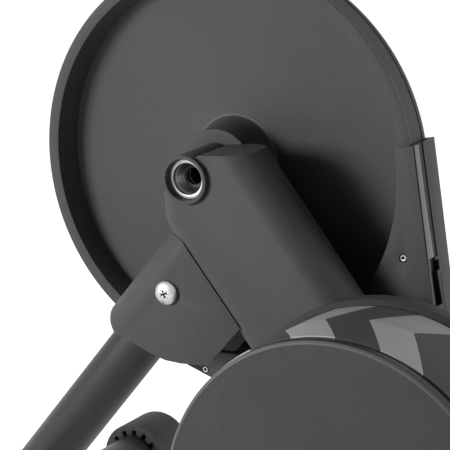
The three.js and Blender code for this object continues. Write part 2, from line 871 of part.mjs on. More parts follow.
piece('stator_core', cut(
  join(
    moved(ring(coreOuter, 0, coreEnd, coreStart), shaft),
    ...poleAngles.map((angle) => radialBox(angle, poleRoot, poleReach, poleWidth, coreEnd, coreEnd + poleLength)),
  ),
  shaftHole(coreInner, coreEnd - overrun, coreStart + overrun),
  ...housingScrewHoles,
), 'iron');

poleAngles.forEach((angle, i) => {
  const outerHalf = poleLength / 2 + coilWall + gap;
  const innerHalf = poleLength / 2 + gap;
  const coilEnd = coilInnerReach + coilHeight;
  const outerWidth = poleWidth + 2 * (coilWall + gap);
  piece(`brake_coil_${i + 1}`, cut(
    radialBox(angle, coilInnerReach, coilEnd, outerWidth, poleMiddle - outerHalf, poleMiddle + outerHalf),
    radialBox(
      angle, coilInnerReach - overrun, coilEnd + overrun, poleWidth + 2 * gap,
      poleMiddle - innerHalf, poleMiddle + innerHalf,
    ),
  ), 'copper');
});

function circuitBoard() {
  const steps = 16;
  const angles = [...Array(steps + 1).keys()].map((i) => armAngle - boardSweep / 2 + (boardSweep * i) / steps);
  const points = [
    ...angles.map((angle) => along(shaft, angle, boardOuter, 0)),
    ...angles.reverse().map((angle) => along(shaft, angle, boardInner, 0)),
  ];
  return plate(points, housingInside - boardLift - boardThickness, housingInside - boardLift);
}

piece('control_board', circuitBoard(), 'board');

housingScrewPlaces.forEach((place, i) => {
  piece(`housing_screw_${i + 1}`, moved(screw(
    housingScrewHead, housingScrewHeadHeight, housingScrewRadius,
    armNearY + housingScrewBite - coreEnd, housingScrewRadius / 2,
  ), place, coreEnd - gap), 'steel');
});

const inletAt = onArm(shaftDistance, housingRadius - inletInset);
const inletStart = housingSeat + gap;
const inletEnd = inletStart + inletDepth;

piece('power_inlet', join(
  cut(
    moved(ring(inletWidth / 2, 0, inletStart, inletEnd, smallRound), inletAt),
    moved(ring(inletHoleRadius, 0, inletEnd - inletHoleDepth, inletEnd + overrun), inletAt),
  ),
  moved(ring(inletPinRadius, 0, inletEnd - inletHoleDepth - gap, inletEnd - gap, tinyRound), inletAt),
), 'blackPlastic');

// Flywheel: drum, eddy ring, shaft, nut, small belt wheel and front cover

const drumWebBack = drumNearY + drumWeb;
const postPlaces = circleOfPlaces(shaft, coverPostCircle, coverPosts, armAngle);

piece('flywheel_drum', cut(
  moved(revolve([
    [shaftRadius + gap, drumNearY],
    [drumRadius - drumBevel, drumNearY],
    [drumRadius, drumNearY + drumBevel],
    [drumRadius, drumFarY - drumBevel],
    [drumRadius - drumBevel, drumFarY],
    [drumRadius - drumRimWall, drumFarY],
    [drumRadius - drumRimWall, drumWebBack],
    [drumHubRadius, drumWebBack],
    [drumHubRadius, drumWebBack + drumHubLength],
    [shaftRadius + gap, drumWebBack + drumHubLength],
  ], fineRound), shaft),
  ...holes(postPlaces, coverPostRadius + gap, drumNearY - overrun, drumWebBack + overrun),
), 'graphite');

const eddyOuter = drumRadius - drumRimWall - gap;
const eddyStart = drumWebBack + eddyRingStart;

piece('eddy_ring', moved(
  ring(eddyOuter, eddyOuter - eddyRingWall, eddyStart, eddyStart + eddyRingLength, fineRound), shaft,
), 'copper');

const pinionNear = beltCentreY - pinionWidth / 2;
const pinionFar = beltCentreY + pinionWidth / 2;
const shaftNear = drumNearY - shaftNutHeight - gap;

piece('flywheel_shaft', moved(ring(shaftRadius, 0, shaftNear, pinionFar, smallRound), shaft), 'steel');

piece('shaft_nut', moved(cut(
  ring(shaftNutRadius, 0, shaftNear, shaftNear + shaftNutHeight, 6),
  ring(shaftRadius + gap, 0, shaftNear - overrun, shaftNear + shaftNutHeight + overrun, smallRound),
), shaft), 'steel');

piece('small_belt_wheel', moved(revolve([
  [shaftRadius + gap, pinionNear],
  [pinionFlangeRadius, pinionNear],
  [pinionFlangeRadius, channelNear - gap],
  [pinionRadius, channelNear],
  ...ribbed(pinionRadius),
  [pinionRadius, channelFar],
  [pinionFlangeRadius, channelFar + gap],
  [pinionFlangeRadius, pinionFar],
  [shaftRadius + gap, pinionFar],
], smallRound), shaft), 'steel');

const coverBack = drumNearY - gap;
const coverFront = coverBack - coverDepth;

piece('flywheel_cover', join(
  moved(revolve([
    [0, coverFront],
    [coverRadius - coverBevel, coverFront],
    [coverRadius, coverFront + coverBevel],
    [coverRadius, coverBack],
    [coverRadius - coverWall, coverBack],
    [coverRadius - coverWall, coverFront + coverBevel],
    [coverRadius - coverBevel - coverWall / 2, coverFront + coverWall],
    [0, coverFront + coverWall],
  ], fineRound), shaft),
  ...holes(postPlaces, coverPostRadius, coverFront + coverWall / 2, drumWebBack),
), 'graphite');

const shaftBearingStarts = { near: armNearY + gap, far: armFarY - gap - shaftBearingWidth };
for (const [side, start] of Object.entries(shaftBearingStarts)) {
  piece(`shaft_bearing_${side}`, moved(
    ring(shaftBearingOuter, shaftRadius + gap, start, start + shaftBearingWidth, smallRound), shaft,
  ), 'steel');
}

// Belt guard

const beltBack = beltGap + beltThickness - beltRibDepth;

function guardOutline(rise, rightLead, leftLead) {
  const big = beltSeat + beltBack + rise;
  const small = pinionRadius + beltBack + rise;
  const steps = 8;
  const turn = [...Array(steps + 1).keys()].map((i) => rightNormal - (2 * wrapAngle * i) / steps);
  return [
    along(axle, rightNormal, big, rightLead),
    ...turn.map((angle) => along(shaft, angle, small, 0)),
    along(axle, leftNormal, big, leftLead),
  ];
}

const guardLipEnd = guardNearY + guardLip;
const guardInnerY = guardNearY + guardSheet;
const guardPostPlaces = [rightNormal - guardPostTurn, leftNormal + guardPostTurn].map(
  (angle) => along(axle, angle, wheelRadius + guardPostStep, 0),
);
const guardCutOut = ring(guardCutRadius, 0, -farAway, farAway, beltRound);
const openEnds = [guardRightLead + overrun * 2, guardLeftLead - overrun * 2];

piece('guard_cover', cut(
  join(
    cut(
      plate(guardOutline(guardRise, guardRightLead, guardLeftLead), guardNearY, guardLipEnd),
      plate(guardOutline(guardRise - guardSheet, ...openEnds), guardInnerY, guardLipEnd + overrun),
      guardCutOut,
    ),
    ...guardPads.map((place) => moved(
      ring(guardPadRadius, 0, armFarY + gap, guardInnerY, tinyRound), place,
    )),
  ),
  ...holes(guardPostPlaces, guardScrewRadius + gap),
  ...holes(farScrewPlaces, idlerScrewRadius + gap),
  shaftHole(shaftRadius + guardShaftClear, -farAway, farAway),
), 'graphite');

const guardShellY = guardLipEnd + gap;
const pilotEnd = guardNearY + guardScrewLength + gap;

piece('guard_shell', cut(
  join(
    cut(
      plate(guardOutline(guardShellRise, guardRightLead, guardLeftLead), guardShellY, guardBackY),
      plate(
        guardOutline(guardShellRise - guardSheet, ...openEnds), guardShellY - overrun, guardBackY - guardSheet,
      ),
      guardCutOut,
    ),
    ...holes(guardPostPlaces, guardPostRadius, guardInnerY + gap, guardBackY - guardSheet / 2),
  ),
  ...holes(guardPostPlaces, guardScrewRadius + gap, -farAway, pilotEnd),
), 'graphiteDark');

guardPostPlaces.forEach((place, i) => {
  piece(`guard_screw_${i + 1}`, moved(
    screw(guardScrewHead, guardScrewHeadHeight, guardScrewRadius, guardScrewLength, guardScrewRadius / 2),
    place,
    guardNearY - gap,
  ), 'steel');
});

// A screw whose head is on the far side, for the guard and the idler
function farScrew(place, headY) {
  const length = headY - (armFarY - guardPadScrewBite);
  const geometry = screw(idlerScrewHead, idlerScrewHeadHeight, idlerScrewRadius, length, idlerScrewRadius / 2);
  return moved(facingOut(geometry.scale(1, -1, 1)), place, headY);
}

guardPads.forEach((place, i) => {
  piece(`guard_pad_screw_${i + 1}`, farScrew(place, guardInnerY + gap), 'steel');
});

// Idler roller inside the belt's lower run

const idlerAt = along(axle, leftNormal, beltSeat - beltRibDepth - idlerRadius, idlerAlongRun);
const idlerPlateNear = guardInnerY + gap;
const idlerPlateFar = idlerPlateNear + idlerPlate;
const idlerNear = beltCentreY - idlerWidth / 2;
const idlerFar = beltCentreY + idlerWidth / 2;
const idlerOutline = [[...idlerAt, idlerPlateRadius], [...idlerAnchorPlace, idlerPlateRadius]];

piece('idler_bracket', cut(
  join(
    plate(hullOutline(idlerOutline, 0, smallRound), idlerPlateNear, idlerPlateFar),
    moved(ring(idlerPinRadius, 0, idlerPlateNear, idlerFar + gap, smallRound), idlerAt),
    moved(ring(idlerPinRadius + idlerPlate, 0, idlerPlateNear, idlerNear - gap, smallRound), idlerAt),
  ),
  ...holes([idlerAnchorPlace], idlerScrewRadius + gap),
), 'steel');

piece('idler_roller', moved(
  ring(idlerRadius, idlerPinRadius + gap, idlerNear, idlerFar, smallRound), idlerAt,
), 'blackPlastic');

piece('idler_screw', farScrew(idlerAnchorPlace, idlerPlateFar + gap), 'steel');

export default trainer;
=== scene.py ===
"""Direct drive bike trainer: the fine surfaces, finishes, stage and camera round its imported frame.

Places are in millimetres from the wheel axle, with y = 0 at the near rim of the big belt wheel.
"""
import json
import math

import bmesh
import bpy
from bpy.props import FloatProperty, FloatVectorProperty, IntProperty, PointerProperty
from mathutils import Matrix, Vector


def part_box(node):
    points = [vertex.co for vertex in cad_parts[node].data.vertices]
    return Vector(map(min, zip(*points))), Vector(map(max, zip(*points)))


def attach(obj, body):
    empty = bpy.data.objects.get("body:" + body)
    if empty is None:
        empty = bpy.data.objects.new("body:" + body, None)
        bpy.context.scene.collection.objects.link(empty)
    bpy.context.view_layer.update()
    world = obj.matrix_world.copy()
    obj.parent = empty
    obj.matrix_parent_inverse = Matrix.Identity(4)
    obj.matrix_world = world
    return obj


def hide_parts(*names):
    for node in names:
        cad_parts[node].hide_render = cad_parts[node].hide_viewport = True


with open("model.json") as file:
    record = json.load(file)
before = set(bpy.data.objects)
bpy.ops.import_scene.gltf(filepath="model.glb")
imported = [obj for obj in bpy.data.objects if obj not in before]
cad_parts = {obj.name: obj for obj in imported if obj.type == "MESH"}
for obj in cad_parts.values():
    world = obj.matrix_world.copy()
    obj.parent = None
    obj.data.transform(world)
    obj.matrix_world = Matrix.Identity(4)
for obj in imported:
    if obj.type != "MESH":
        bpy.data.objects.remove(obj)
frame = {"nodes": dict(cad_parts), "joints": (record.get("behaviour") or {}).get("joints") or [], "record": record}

bl_info = {
    "name": "Direct Drive Bike Trainer",
    "version": (1, 0, 0),
    "blender": (4, 5, 0),
    "location": "View3D > Sidebar > Trainer",
    "description": "Builds the visible surfaces, finishes and stage of a direct drive bike trainer",
    "category": "Object",
}

MM = 0.001
GAP = 0.3
RUN_GAP = 0.6
TURN = 2 * math.pi
# How far a tool runs past what it cuts, and the reach of tools that cut right through
OVERRUN = 5.0
THROUGH = 200.0
FAR_OFF = 400.0

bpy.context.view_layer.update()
HINGES = {joint["name"]: joint["pos_m"] for joint in frame["joints"]}
AXLE_X, _, AXLE_Z = HINGES["drive_wheel_spin"]
SHAFT = ((HINGES["flywheel_spin"][0] - AXLE_X) / MM, (HINGES["flywheel_spin"][2] - AXLE_Z) / MM)
LEFT_DROPOUT = -60.0
RIM_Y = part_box("axle_sleeve")[0].y - LEFT_DROPOUT * MM
AXLE = (0.0, 0.0)


def node_middle(node):
    """Middle of a node as (x, z) from the axle, and its y reach."""
    low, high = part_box(node)
    middle = ((low.x + high.x) / 2, (low.z + high.z) / 2)
    place = ((middle[0] - AXLE_X) / MM, (middle[1] - AXLE_Z) / MM)
    return place, ((low.y - RIM_Y) / MM, (high.y - RIM_Y) / MM)


FRONT_BAR, FRONT_REACH = node_middle("front_crossbar")
REAR_BAR, _ = node_middle("rear_crossbar")

# Arm
ARM_ANGLE = math.atan2(SHAFT[1], SHAFT[0])
SHAFT_DISTANCE = math.hypot(*SHAFT)
PLANE_Y = -32.5
ARM_HALF = 52.0
ARM_END = 45.0
ARM_DEPTH = 24.0
ARM_EDGE = 17.0
ARM_TOP_RISE = 17.3
ARM_TOP_SLOPE = math.radians(6)
ARM_SHOULDER = 19.9
ARM_SHOULDER_ANGLE = math.radians(177)
ARM_CORNER = 5.9
ARM_CORNER_ANGLE = math.radians(136)
ARM_BEND = (23.2, -8.4, 33.4)
ARM_NEAR = PLANE_Y - ARM_DEPTH
ARM_FAR = PLANE_Y + ARM_DEPTH

# Sleeve, adapter and hub
SLEEVE = 18.4
SLEEVE_STEP = 0.3
SLEEVE_STEP_END = LEFT_DROPOUT + 3.4
SLEEVE_MOUTH = 15.5
ADAPTER = 14.9
ADAPTER_START = LEFT_DROPOUT + 5.4
ADAPTER_END = ADAPTER_START + 15
BORE = 6.3
HUB_AXLE = 8.5
HUB_AXLE_END = 68.9
BOSS_FACE = -10.0
BOSS = 28.6
BOSS_RECESS = 31.0
BEARING_SEAT = 15.0
BEARING_WIDTH = 7.0

# Big wheel and belt
WHEEL = 155.0
WHEEL_WIDTH = 26.3
RIM_INNER = 146.5
FLOOR_RADIUS = 141.2
FLOOR_DEPTH = 19.8
BELT_WIDTH = 16.0
BELT_RIBS = 4
RIB_DEPTH = 1.7
BELT_THICKNESS = 3.8
BELT_GAP = 0.35
BELT_SEAT = WHEEL - 0.4 - (BELT_THICKNESS - RIB_DEPTH) - BELT_GAP
BELT_MIDDLE = WHEEL_WIDTH / 2
CHANNEL_NEAR, CHANNEL_FAR = BELT_MIDDLE - 8.5, BELT_MIDDLE + 8.5
PINION = 16.5
PINION_FLANGE = 20.8
PINION_NEAR, PINION_FAR = BELT_MIDDLE - 10.75, BELT_MIDDLE + 10.75
WRAP = math.acos((BELT_SEAT - PINION) / SHAFT_DISTANCE)
RIGHT_NORMAL = ARM_ANGLE + WRAP
LEFT_NORMAL = ARM_ANGLE - WRAP

# Legs, bracket and feet
TUBE = 20.0
TUBE_WALL = 2.5
LEG_ANGLE = math.radians(51.7)
NOSE_SIDE = 9.4
NOSE = 23.0
BRACKET_PLATE = 2.5
BRACKET_OUTLINE = [
    (-51.5, 36.9), (-56.6, 22.9), (-58.3, 14.9), (-52.8, -1), (-47.5, -18.9), (-42.4, -30.4),
    (-34.9, -40.7), (-19.9, -57.5), (23, -59.1), (39.3, 15.7), (37.2, 37.7),
]
LEG_TOP_ON_ARM = (57.1, -69.2)
LEG_BOLT_SIDE = 0.8
BOLT_HOLE = 5.3
BOLT_HEAD = 9.2
SOCKET = 25.4
SOCKET_DEPTH = 54.0
SOCKET_SEAT = 28.6
CAP = 29.4
CAP_LENGTH = 49.0
CAP_FLAT = 1.0
CAP_WALL = 6.0
CAP_OVERHANG = 6.3
CAP_ROUND = 7.0
CAP_POCKETS = 14

# Flywheel and housing
HOUSING = 133.6
HOUSING_BACK = -48.0
HOUSING_FRONT = HOUSING_BACK - 15.4
DRUM = 129.7
DRUM_FAR = -64.6
DRUM_NEAR = -146.5
COVER = 128.8
COVER_BACK = DRUM_NEAR - GAP
COVER_FRONT = COVER_BACK - 10.2
COVER_WALL = 2.6
SHAFT_BEARING = 17.5
SHAFT_BEARING_WIDTH = 11.0
POST_CIRCLE = 80.0

# Guard
GUARD_NEAR = -6.0
GUARD_LIP_END = 1.4
GUARD_SHELL_NEAR = GUARD_LIP_END + GAP
GUARD_BACK = 31.2
GUARD_SHEET = 2.2
GUARD_RISE = 4.8
GUARD_SHELL_RISE = 5.0
GUARD_CUT = 144.6
GUARD_RIGHT_LEAD = 10.0
GUARD_LEFT_LEAD = 15.6
GUARD_POST_REACH = WHEEL + 4.2
GUARD_POST_TURN = math.radians(27.7)
GUARD_TOP_SLOPE = math.radians(12.7)
# The third guard screw, almost straight below the axle
GUARD_EYE = (-12.9, -160.4)

# The camera's place from the axle, and its angles
CAMERA_PLACE = (847.508, -1525.307, 393.675)
CAMERA_AZIMUTH = math.radians(29.027)
CAMERA_ELEVATION = math.radians(14.158)
CAMERA_LENS = 192.0


# Settings in the sidebar

class TrainerSizes(bpy.types.PropertyGroup):
    """Sizes that a user would change"""
    edge: FloatProperty(
        name="Edge rounding", description="Rounding of the cut edges of plates and cast parts",
        default=0.6 * MM, min=0.0, max=2 * MM, unit="LENGTH")
    fine_edge: FloatProperty(
        name="Fine edge", description="Rounding of the edges of turned and small parts",
        default=0.35 * MM, min=0.0, max=1 * MM, unit="LENGTH")
    segments: IntProperty(
        name="Segments", description="Segments round the large turned parts",
        default=192, min=48, max=384)
    grain: FloatProperty(
        name="Coat grain", description="Width of one grain of the powder coat",
        default=0.9 * MM, min=0.2 * MM, max=4 * MM, unit="LENGTH")


class TrainerColours(bpy.types.PropertyGroup):
    """Colours of the finishes"""
    coat: FloatVectorProperty(
        name="Powder coat", description="Colour of the arm, legs, wheel, guard and flywheel",
        default=(0.088, 0.088, 0.09), size=3, min=0, max=1, subtype="COLOR")
    dark_coat: FloatVectorProperty(
        name="Dark coat", description="Colour of the brake housing",
        default=(0.062, 0.062, 0.063), size=3, min=0, max=1, subtype="COLOR")
    plastic: FloatVectorProperty(
        name="Foot cap", description="Colour of the moulded foot caps",
        default=(0.045, 0.045, 0.046), size=3, min=0, max=1, subtype="COLOR")
    belt: FloatVectorProperty(
        name="Belt", description="Colour of the rubber belt",
        default=(0.022, 0.022, 0.022), size=3, min=0, max=1, subtype="COLOR")
    steel: FloatVectorProperty(
        name="Steel", description="Colour of screws, bearings and the axle adapter",
        default=(0.62, 0.62, 0.61), size=3, min=0, max=1, subtype="COLOR")
    zigzag_light: FloatVectorProperty(
        name="Zigzag stripes", description="Pale grey of the zigzag stripes round the flywheel",
        default=(0.56, 0.56, 0.56), size=3, min=0, max=1, subtype="COLOR")


class TrainerStage(bpy.types.PropertyGroup):
    """Floor and light"""
    floor: FloatVectorProperty(
        name="Floor", description="Colour of the floor and backdrop",
        default=(0.86, 0.86, 0.86), size=3, min=0, max=1, subtype="COLOR")
    key: FloatProperty(
        name="Key light", description="Power of the soft light at the left front",
        default=48.0, min=0.0, unit="POWER")
    side: FloatProperty(
        name="Side light", description="Power of the soft light at the right, a little behind",
        default=20.0, min=0.0, unit="POWER")
    sky: FloatProperty(
        name="Sky", description="Strength of the soft light from behind",
        default=0.8, min=0.0)


# Places

def along(origin, angle, distance, side):
    """A place at a distance along an angle and to its left side, as (x, z)."""
    return (origin[0] + math.cos(angle) * distance - math.sin(angle) * side,
            origin[1] + math.sin(angle) * distance + math.cos(angle) * side)


def on_arm(distance, side):
    """A place down the arm from the axle and to its left side."""
    return along(AXLE, ARM_ANGLE, distance, side)


LEG_TOP = on_arm(*LEG_TOP_ON_ARM)


def on_leg(station, side):
    """A place up the front leg from its bolt and to its left side."""
    return along(LEG_TOP, LEG_ANGLE, station, side)


LEG_FOOT = (FRONT_BAR[1] - LEG_TOP[1]) / math.sin(LEG_ANGLE)
LEG_BOLT = on_leg(0, LEG_BOLT_SIDE)
REAR_LEG_ANGLE = math.atan2(SHAFT[1] - REAR_BAR[1], SHAFT[0] - REAR_BAR[0])
REAR_LEG_LENGTH = math.dist(SHAFT, REAR_BAR)
GUARD_POSTS = [along(AXLE, RIGHT_NORMAL - GUARD_POST_TURN, GUARD_POST_REACH, 0),
               along(AXLE, LEFT_NORMAL + GUARD_POST_TURN, GUARD_POST_REACH, 0)]
GUARD_PADS = [on_arm(WHEEL + 41, 26), on_arm(WHEEL + 41, -22)]
GUARD_SPARE_HOLE = on_arm(WHEEL + 21, -36)


def on_rear_leg(distance):
    """A place up the rear leg from its crossbar."""
    return along(REAR_BAR, REAR_LEG_ANGLE, distance, 0)


def spot(x, y, z):
    """A place from the axle in millimetres as a point of the row frame in metres."""
    return Vector((AXLE_X + x * MM, RIM_Y + y * MM, AXLE_Z + z * MM))


# Shapes

def new_piece(name, mesh):
    """A linked object from a bmesh, with its faces turned outward."""
    bmesh.ops.recalc_face_normals(mesh, faces=mesh.faces)
    data = bpy.data.meshes.new(name)
    mesh.to_mesh(data)
    mesh.free()
    piece = bpy.data.objects.new(name, data)
    bpy.context.scene.collection.objects.link(piece)
    return piece


def bridge(mesh, near, far):
    """Faces between two rings of points, either of which may be a single point."""
    if len(near) == 1 and len(far) == 1:
        return
    count = max(len(near), len(far))
    for i in range(count):
        j = (i + 1) % count
        if len(near) == 1:
            mesh.faces.new((near[0], far[i], far[j]))
        elif len(far) == 1:
            mesh.faces.new((near[i], near[j], far[0]))
        else:
            mesh.faces.new((near[i], near[j], far[j], far[i]))


def skin(name, mesh, rings, closed=False):
    """A solid through a row of rings of points, with flat ends unless the row is closed."""
    for near, far in zip(rings, rings[1:] + (rings[:1] if closed else [])):
        bridge(mesh, near, far)
    if not closed:
        mesh.faces.new(rings[0])
        mesh.faces.new(list(reversed(rings[-1])))
    return new_piece(name, mesh)


def turned(name, profile, centre=AXLE, segments=None):
    """A part turned about the Y axis from a closed profile of (radius, y)."""
    segments = segments or bpy.context.scene.trainer_sizes.segments
    mesh = bmesh.new()
    rings = []
    for radius, y in profile:
        if radius <= 0:
            rings.append([mesh.verts.new(spot(centre[0], y, centre[1]))])
            continue
        turns = [TURN * i / segments for i in range(segments)]
        rings.append([mesh.verts.new(spot(
            centre[0] + radius * math.cos(t), y, centre[1] + radius * math.sin(t))) for t in turns])
    return skin(name, mesh, rings, closed=True)


def ring(name, outer, inner, y0, y1, centre=AXLE, segments=96):
    """A flat-ended ring about the Y axis, or a disc where its inner radius is 0."""
    return turned(name, [(inner, y0), (outer, y0), (outer, y1), (inner, y1)], centre, segments)


def bore(radius, y0, y1, centre=AXLE, segments=96):
    """A round tool that cuts along Y."""
    return ring("tool", radius, 0, y0, y1, centre, segments)


def quarter(steps):
    """Angles in even steps through a quarter turn."""
    return [TURN / 4 * i / steps for i in range(steps + 1)]


def round_corner(radius, y, size, steps, way=1):
    """A quarter round from a turned face at y to its rim, as (radius, y)."""
    return [(radius - size + size * math.sin(angle), y + way * size * (1 - math.cos(angle)))
            for angle in quarter(steps)]


def plate(name, outline, y0, y1):
    """A flat outline of (x, z) places with thickness along Y."""
    mesh = bmesh.new()
    near = [mesh.verts.new(spot(x, y0, z)) for x, z in outline]
    far = [mesh.verts.new(spot(x, y1, z)) for x, z in outline]
    mesh.faces.new(near)
    mesh.faces.new(list(reversed(far)))
    bridge(mesh, near, far)
    return new_piece(name, mesh)


def hull_outline(circles, inset, segments):
    """Outline of the hull of circles (x, z, radius), drawn in by an inset."""
    places = []
    for i in range(segments):
        nx, nz = math.cos(TURN * i / segments), math.sin(TURN * i / segments)
        x, z, radius = max(circles, key=lambda c: c[0] * nx + c[1] * nz + c[2])
        places.append((x + (radius - inset) * nx, z + (radius - inset) * nz))
    return places


def pillow(name, circles, y0, y1, edge, segments=240, steps=12):
    """The hull of circles with thickness along Y and its edges rounded."""
    steps = [(edge * (1 - math.cos(angle)), edge * (1 - math.sin(angle))) for angle in quarter(steps)]
    layers = [(y0 + rise, inset) for rise, inset in steps]
    layers += [(y1 - rise, inset) for rise, inset in reversed(steps)]
    mesh = bmesh.new()
    rings = [[mesh.verts.new(spot(x, y, z)) for x, z in hull_outline(circles, inset, segments)]
             for y, inset in layers]
    return skin(name, mesh, rings)


def swept(name, sections, closed=False):
    """A solid through a row of like sections, each a ring of (x, y, z) places."""
    mesh = bmesh.new()
    rings = [[mesh.verts.new(spot(*place)) for place in section] for section in sections]
    return skin(name, mesh, rings, closed)


def rod(name, start, end, radius, segments=96):
    """A round bar in the plane of the legs between two (x, z) places."""
    a, b = (spot(x, PLANE_Y, z) for x, z in (start, end))
    turn = (b - a).to_track_quat("Z", "Y").to_matrix()
    mesh = bmesh.new()
    rings = []
    for middle in (a, b):
        rings.append([mesh.verts.new(middle + turn @ Vector((
            radius * MM * math.cos(TURN * i / segments), radius * MM * math.sin(TURN * i / segments), 0)))
            for i in range(segments)])
    return skin(name, mesh, rings)


def settle(piece):
    """Makes a piece's modifiers part of its mesh."""
    bpy.context.view_layer.update()
    shape = bpy.data.meshes.new_from_object(piece.evaluated_get(bpy.context.evaluated_depsgraph_get()))
    piece.modifiers.clear()
    old = piece.data
    piece.data = shape
    bpy.data.meshes.remove(old)
    return piece


def carve(piece, *tools, operation="DIFFERENCE"):
    """Cuts tools from a piece, or keeps or joins what they share, and removes the tools."""
    for tool in tools:
        cutter = piece.modifiers.new("cut", "BOOLEAN")
        cutter.operation = operation
        cutter.solver = "EXACT"
        cutter.object = tool
        settle(piece)
        bpy.data.objects.remove(tool)
    return piece


def soften(piece, width, angle=35, segments=3):
    """Rounds the sharp edges and smooths the rest."""
    mesh = bmesh.new()
    mesh.from_mesh(piece.data)
    bmesh.ops.remove_doubles(mesh, verts=mesh.verts, dist=0.00001)
    bmesh.ops.dissolve_degenerate(mesh, edges=mesh.edges, dist=0.00001)
    mesh.to_mesh(piece.data)
    mesh.free()
    if width > 0:
        rounding = piece.modifiers.new("edge", "BEVEL")
        rounding.limit_method = "ANGLE"
        rounding.angle_limit = math.radians(angle)
        rounding.width = width
        rounding.segments = segments
        settle(piece)
    piece.data.shade_smooth()
    piece.data.set_sharp_from_angle(angle=math.radians(angle))
    return piece


def dress(piece, finish, body, *nodes):
    """Gives a piece its finish and body, and hides the nodes that it stands for."""
    piece.data.materials.clear()
    piece.data.materials.append(finish_named(finish))
    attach(piece, body)
    if nodes:
        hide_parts(*nodes)
    return piece


def band(low, high, y0=-math.inf, y1=math.inf, centre=AXLE):
    """Chooses the places between two radii from a centre and two depths."""
    return lambda x, y, z: low <= math.dist((x, z), centre) < high and y0 < y < y1


def paint(piece, finish, chosen):
    """Gives another finish to the faces whose middle, as x, y and z from the axle, is chosen."""
    piece.data.materials.append(finish_named(finish))
    number = len(piece.data.materials) - 1
    for face in piece.data.polygons:
        x, y, z = ((face.center[0] - AXLE_X) / MM, (face.center[1] - RIM_Y) / MM,
                   (face.center[2] - AXLE_Z) / MM)
        if chosen(x, y, z):
            face.material_index = number


def fine_edge():
    """The user's rounding of turned and small parts."""
    return bpy.context.scene.trainer_sizes.fine_edge


def plate_edge():
    """The user's rounding of plates and cast parts."""
    return bpy.context.scene.trainer_sizes.edge


# Finishes

COAT_GLOSS = 0.1
# Pale stripes round the drum; the share of the drum's depth at which they fold, where each stripe's
# painted lighter near limb meets its far limb in painted shade; their lean, in radians for each metre along the
# drum;
# and the share of a stripe at which they start
ZIGZAGS = 12
ZIGZAG_FOLD = 0.58
ZIGZAG_LEAN = math.radians(24) / ((DRUM_FAR - DRUM_NEAR) * MM)
ZIGZAG_START = -104.8 / 30 % 1


def noise_of(tree, coordinates, scale, detail=3.0, roughness=0.6, stretch=None):
    """Noise over the piece's own coordinates, with an optional stretch along its axes."""
    if stretch:
        mapping = tree.nodes.new("ShaderNodeMapping")
        mapping.inputs["Scale"].default_value = stretch
        tree.links.new(coordinates, mapping.inputs["Vector"])
        coordinates = mapping.outputs["Vector"]
    noise = tree.nodes.new("ShaderNodeTexNoise")
    noise.inputs["Scale"].default_value = scale
    noise.inputs["Detail"].default_value = detail
    noise.inputs["Roughness"].default_value = roughness
    tree.links.new(coordinates, noise.inputs["Vector"])
    return noise.outputs["Fac"]


def math_of(tree, operation, *values):
    """A value worked out from numbers and links."""
    node = tree.nodes.new("ShaderNodeMath")
    node.operation = operation
    for port, value in zip(node.inputs, values):
        if isinstance(value, (int, float)):
            port.default_value = value
        else:
            tree.links.new(value, port)
    return node.outputs["Value"]


def range_of(tree, source, low, high, from_low=0.3, from_high=0.7):
    """A value spread between two limits."""
    spread = tree.nodes.new("ShaderNodeMapRange")
    spread.inputs["From Min"].default_value = from_low
    spread.inputs["From Max"].default_value = from_high
    spread.inputs["To Min"].default_value = low
    spread.inputs["To Max"].default_value = high
    tree.links.new(source, spread.inputs["Value"])
    return spread.outputs["Result"]


def shaded(tree, factor, dark, light):
    """A colour between two by a factor."""
    mix = tree.nodes.new("ShaderNodeMix")
    mix.data_type = "RGBA"
    mix.inputs["A"].default_value = (*dark, 1)
    mix.inputs["B"].default_value = (*light, 1)
    tree.links.new(factor, mix.inputs["Factor"])
    return mix.outputs["Result"]


def chosen_of(tree, factor, first, second):
    """The first linked colour where the factor is 0, and the second where it is 1."""
    mix = tree.nodes.new("ShaderNodeMix")
    mix.data_type = "RGBA"
    for port, link in (("Factor", factor), ("A", first), ("B", second)):
        tree.links.new(link, mix.inputs[port])
    return mix.outputs["Result"]


def tone(colour, share):
    """A colour made darker or lighter by a share."""
    return tuple(min(1.0, c * share) for c in colour)


def tint(tree, shader, factor, dark, light):
    """Spreads the base colour between two colours by a factor."""
    tree.links.new(shaded(tree, factor, dark, light), shader.inputs["Base Color"])


def surface(name):
    """A new material with its shader and the piece's own coordinates."""
    material = bpy.data.materials.new(name)
    material.use_nodes = True
    tree = material.node_tree
    shader = tree.nodes["Principled BSDF"]
    coordinates = tree.nodes.new("ShaderNodeTexCoord")
    return material, tree, shader, coordinates.outputs["Object"]


def relief(tree, shader, height, strength, distance):
    """A fine bump on the surface."""
    bump = tree.nodes.new("ShaderNodeBump")
    bump.inputs["Strength"].default_value = strength
    bump.inputs["Distance"].default_value = distance
    tree.links.new(height, bump.inputs["Height"])
    tree.links.new(bump.outputs["Normal"], shader.inputs["Normal"])


def coat_finish(name, colour, roughness=0.5, contrast=0.24, strength=0.35, gloss=COAT_GLOSS):
    """Fine powder coat: a close speckle with a slight cloud, and a grainy relief."""
    material, tree, shader, coordinates = surface(name)
    grain = bpy.context.scene.trainer_sizes.grain
    speckle = noise_of(tree, coordinates, 1 / grain, 4.0, 0.7)
    cloud = noise_of(tree, coordinates, 14.0, 3.0, 0.5)
    factor = range_of(tree, math_of(tree, "MULTIPLY_ADD", cloud, 0.25, speckle), 0, 1, 0.4, 0.85)
    tint(tree, shader, factor, tone(colour, 1 - contrast), tone(colour, 1 + contrast))
    tree.links.new(range_of(tree, speckle, roughness - 0.06, roughness + 0.08), shader.inputs["Roughness"])
    shader.inputs["Specular IOR Level"].default_value = gloss
    relief(tree, shader, noise_of(tree, coordinates, 1.7 / grain, 2.0, 0.5), strength, 0.0002)
    return material


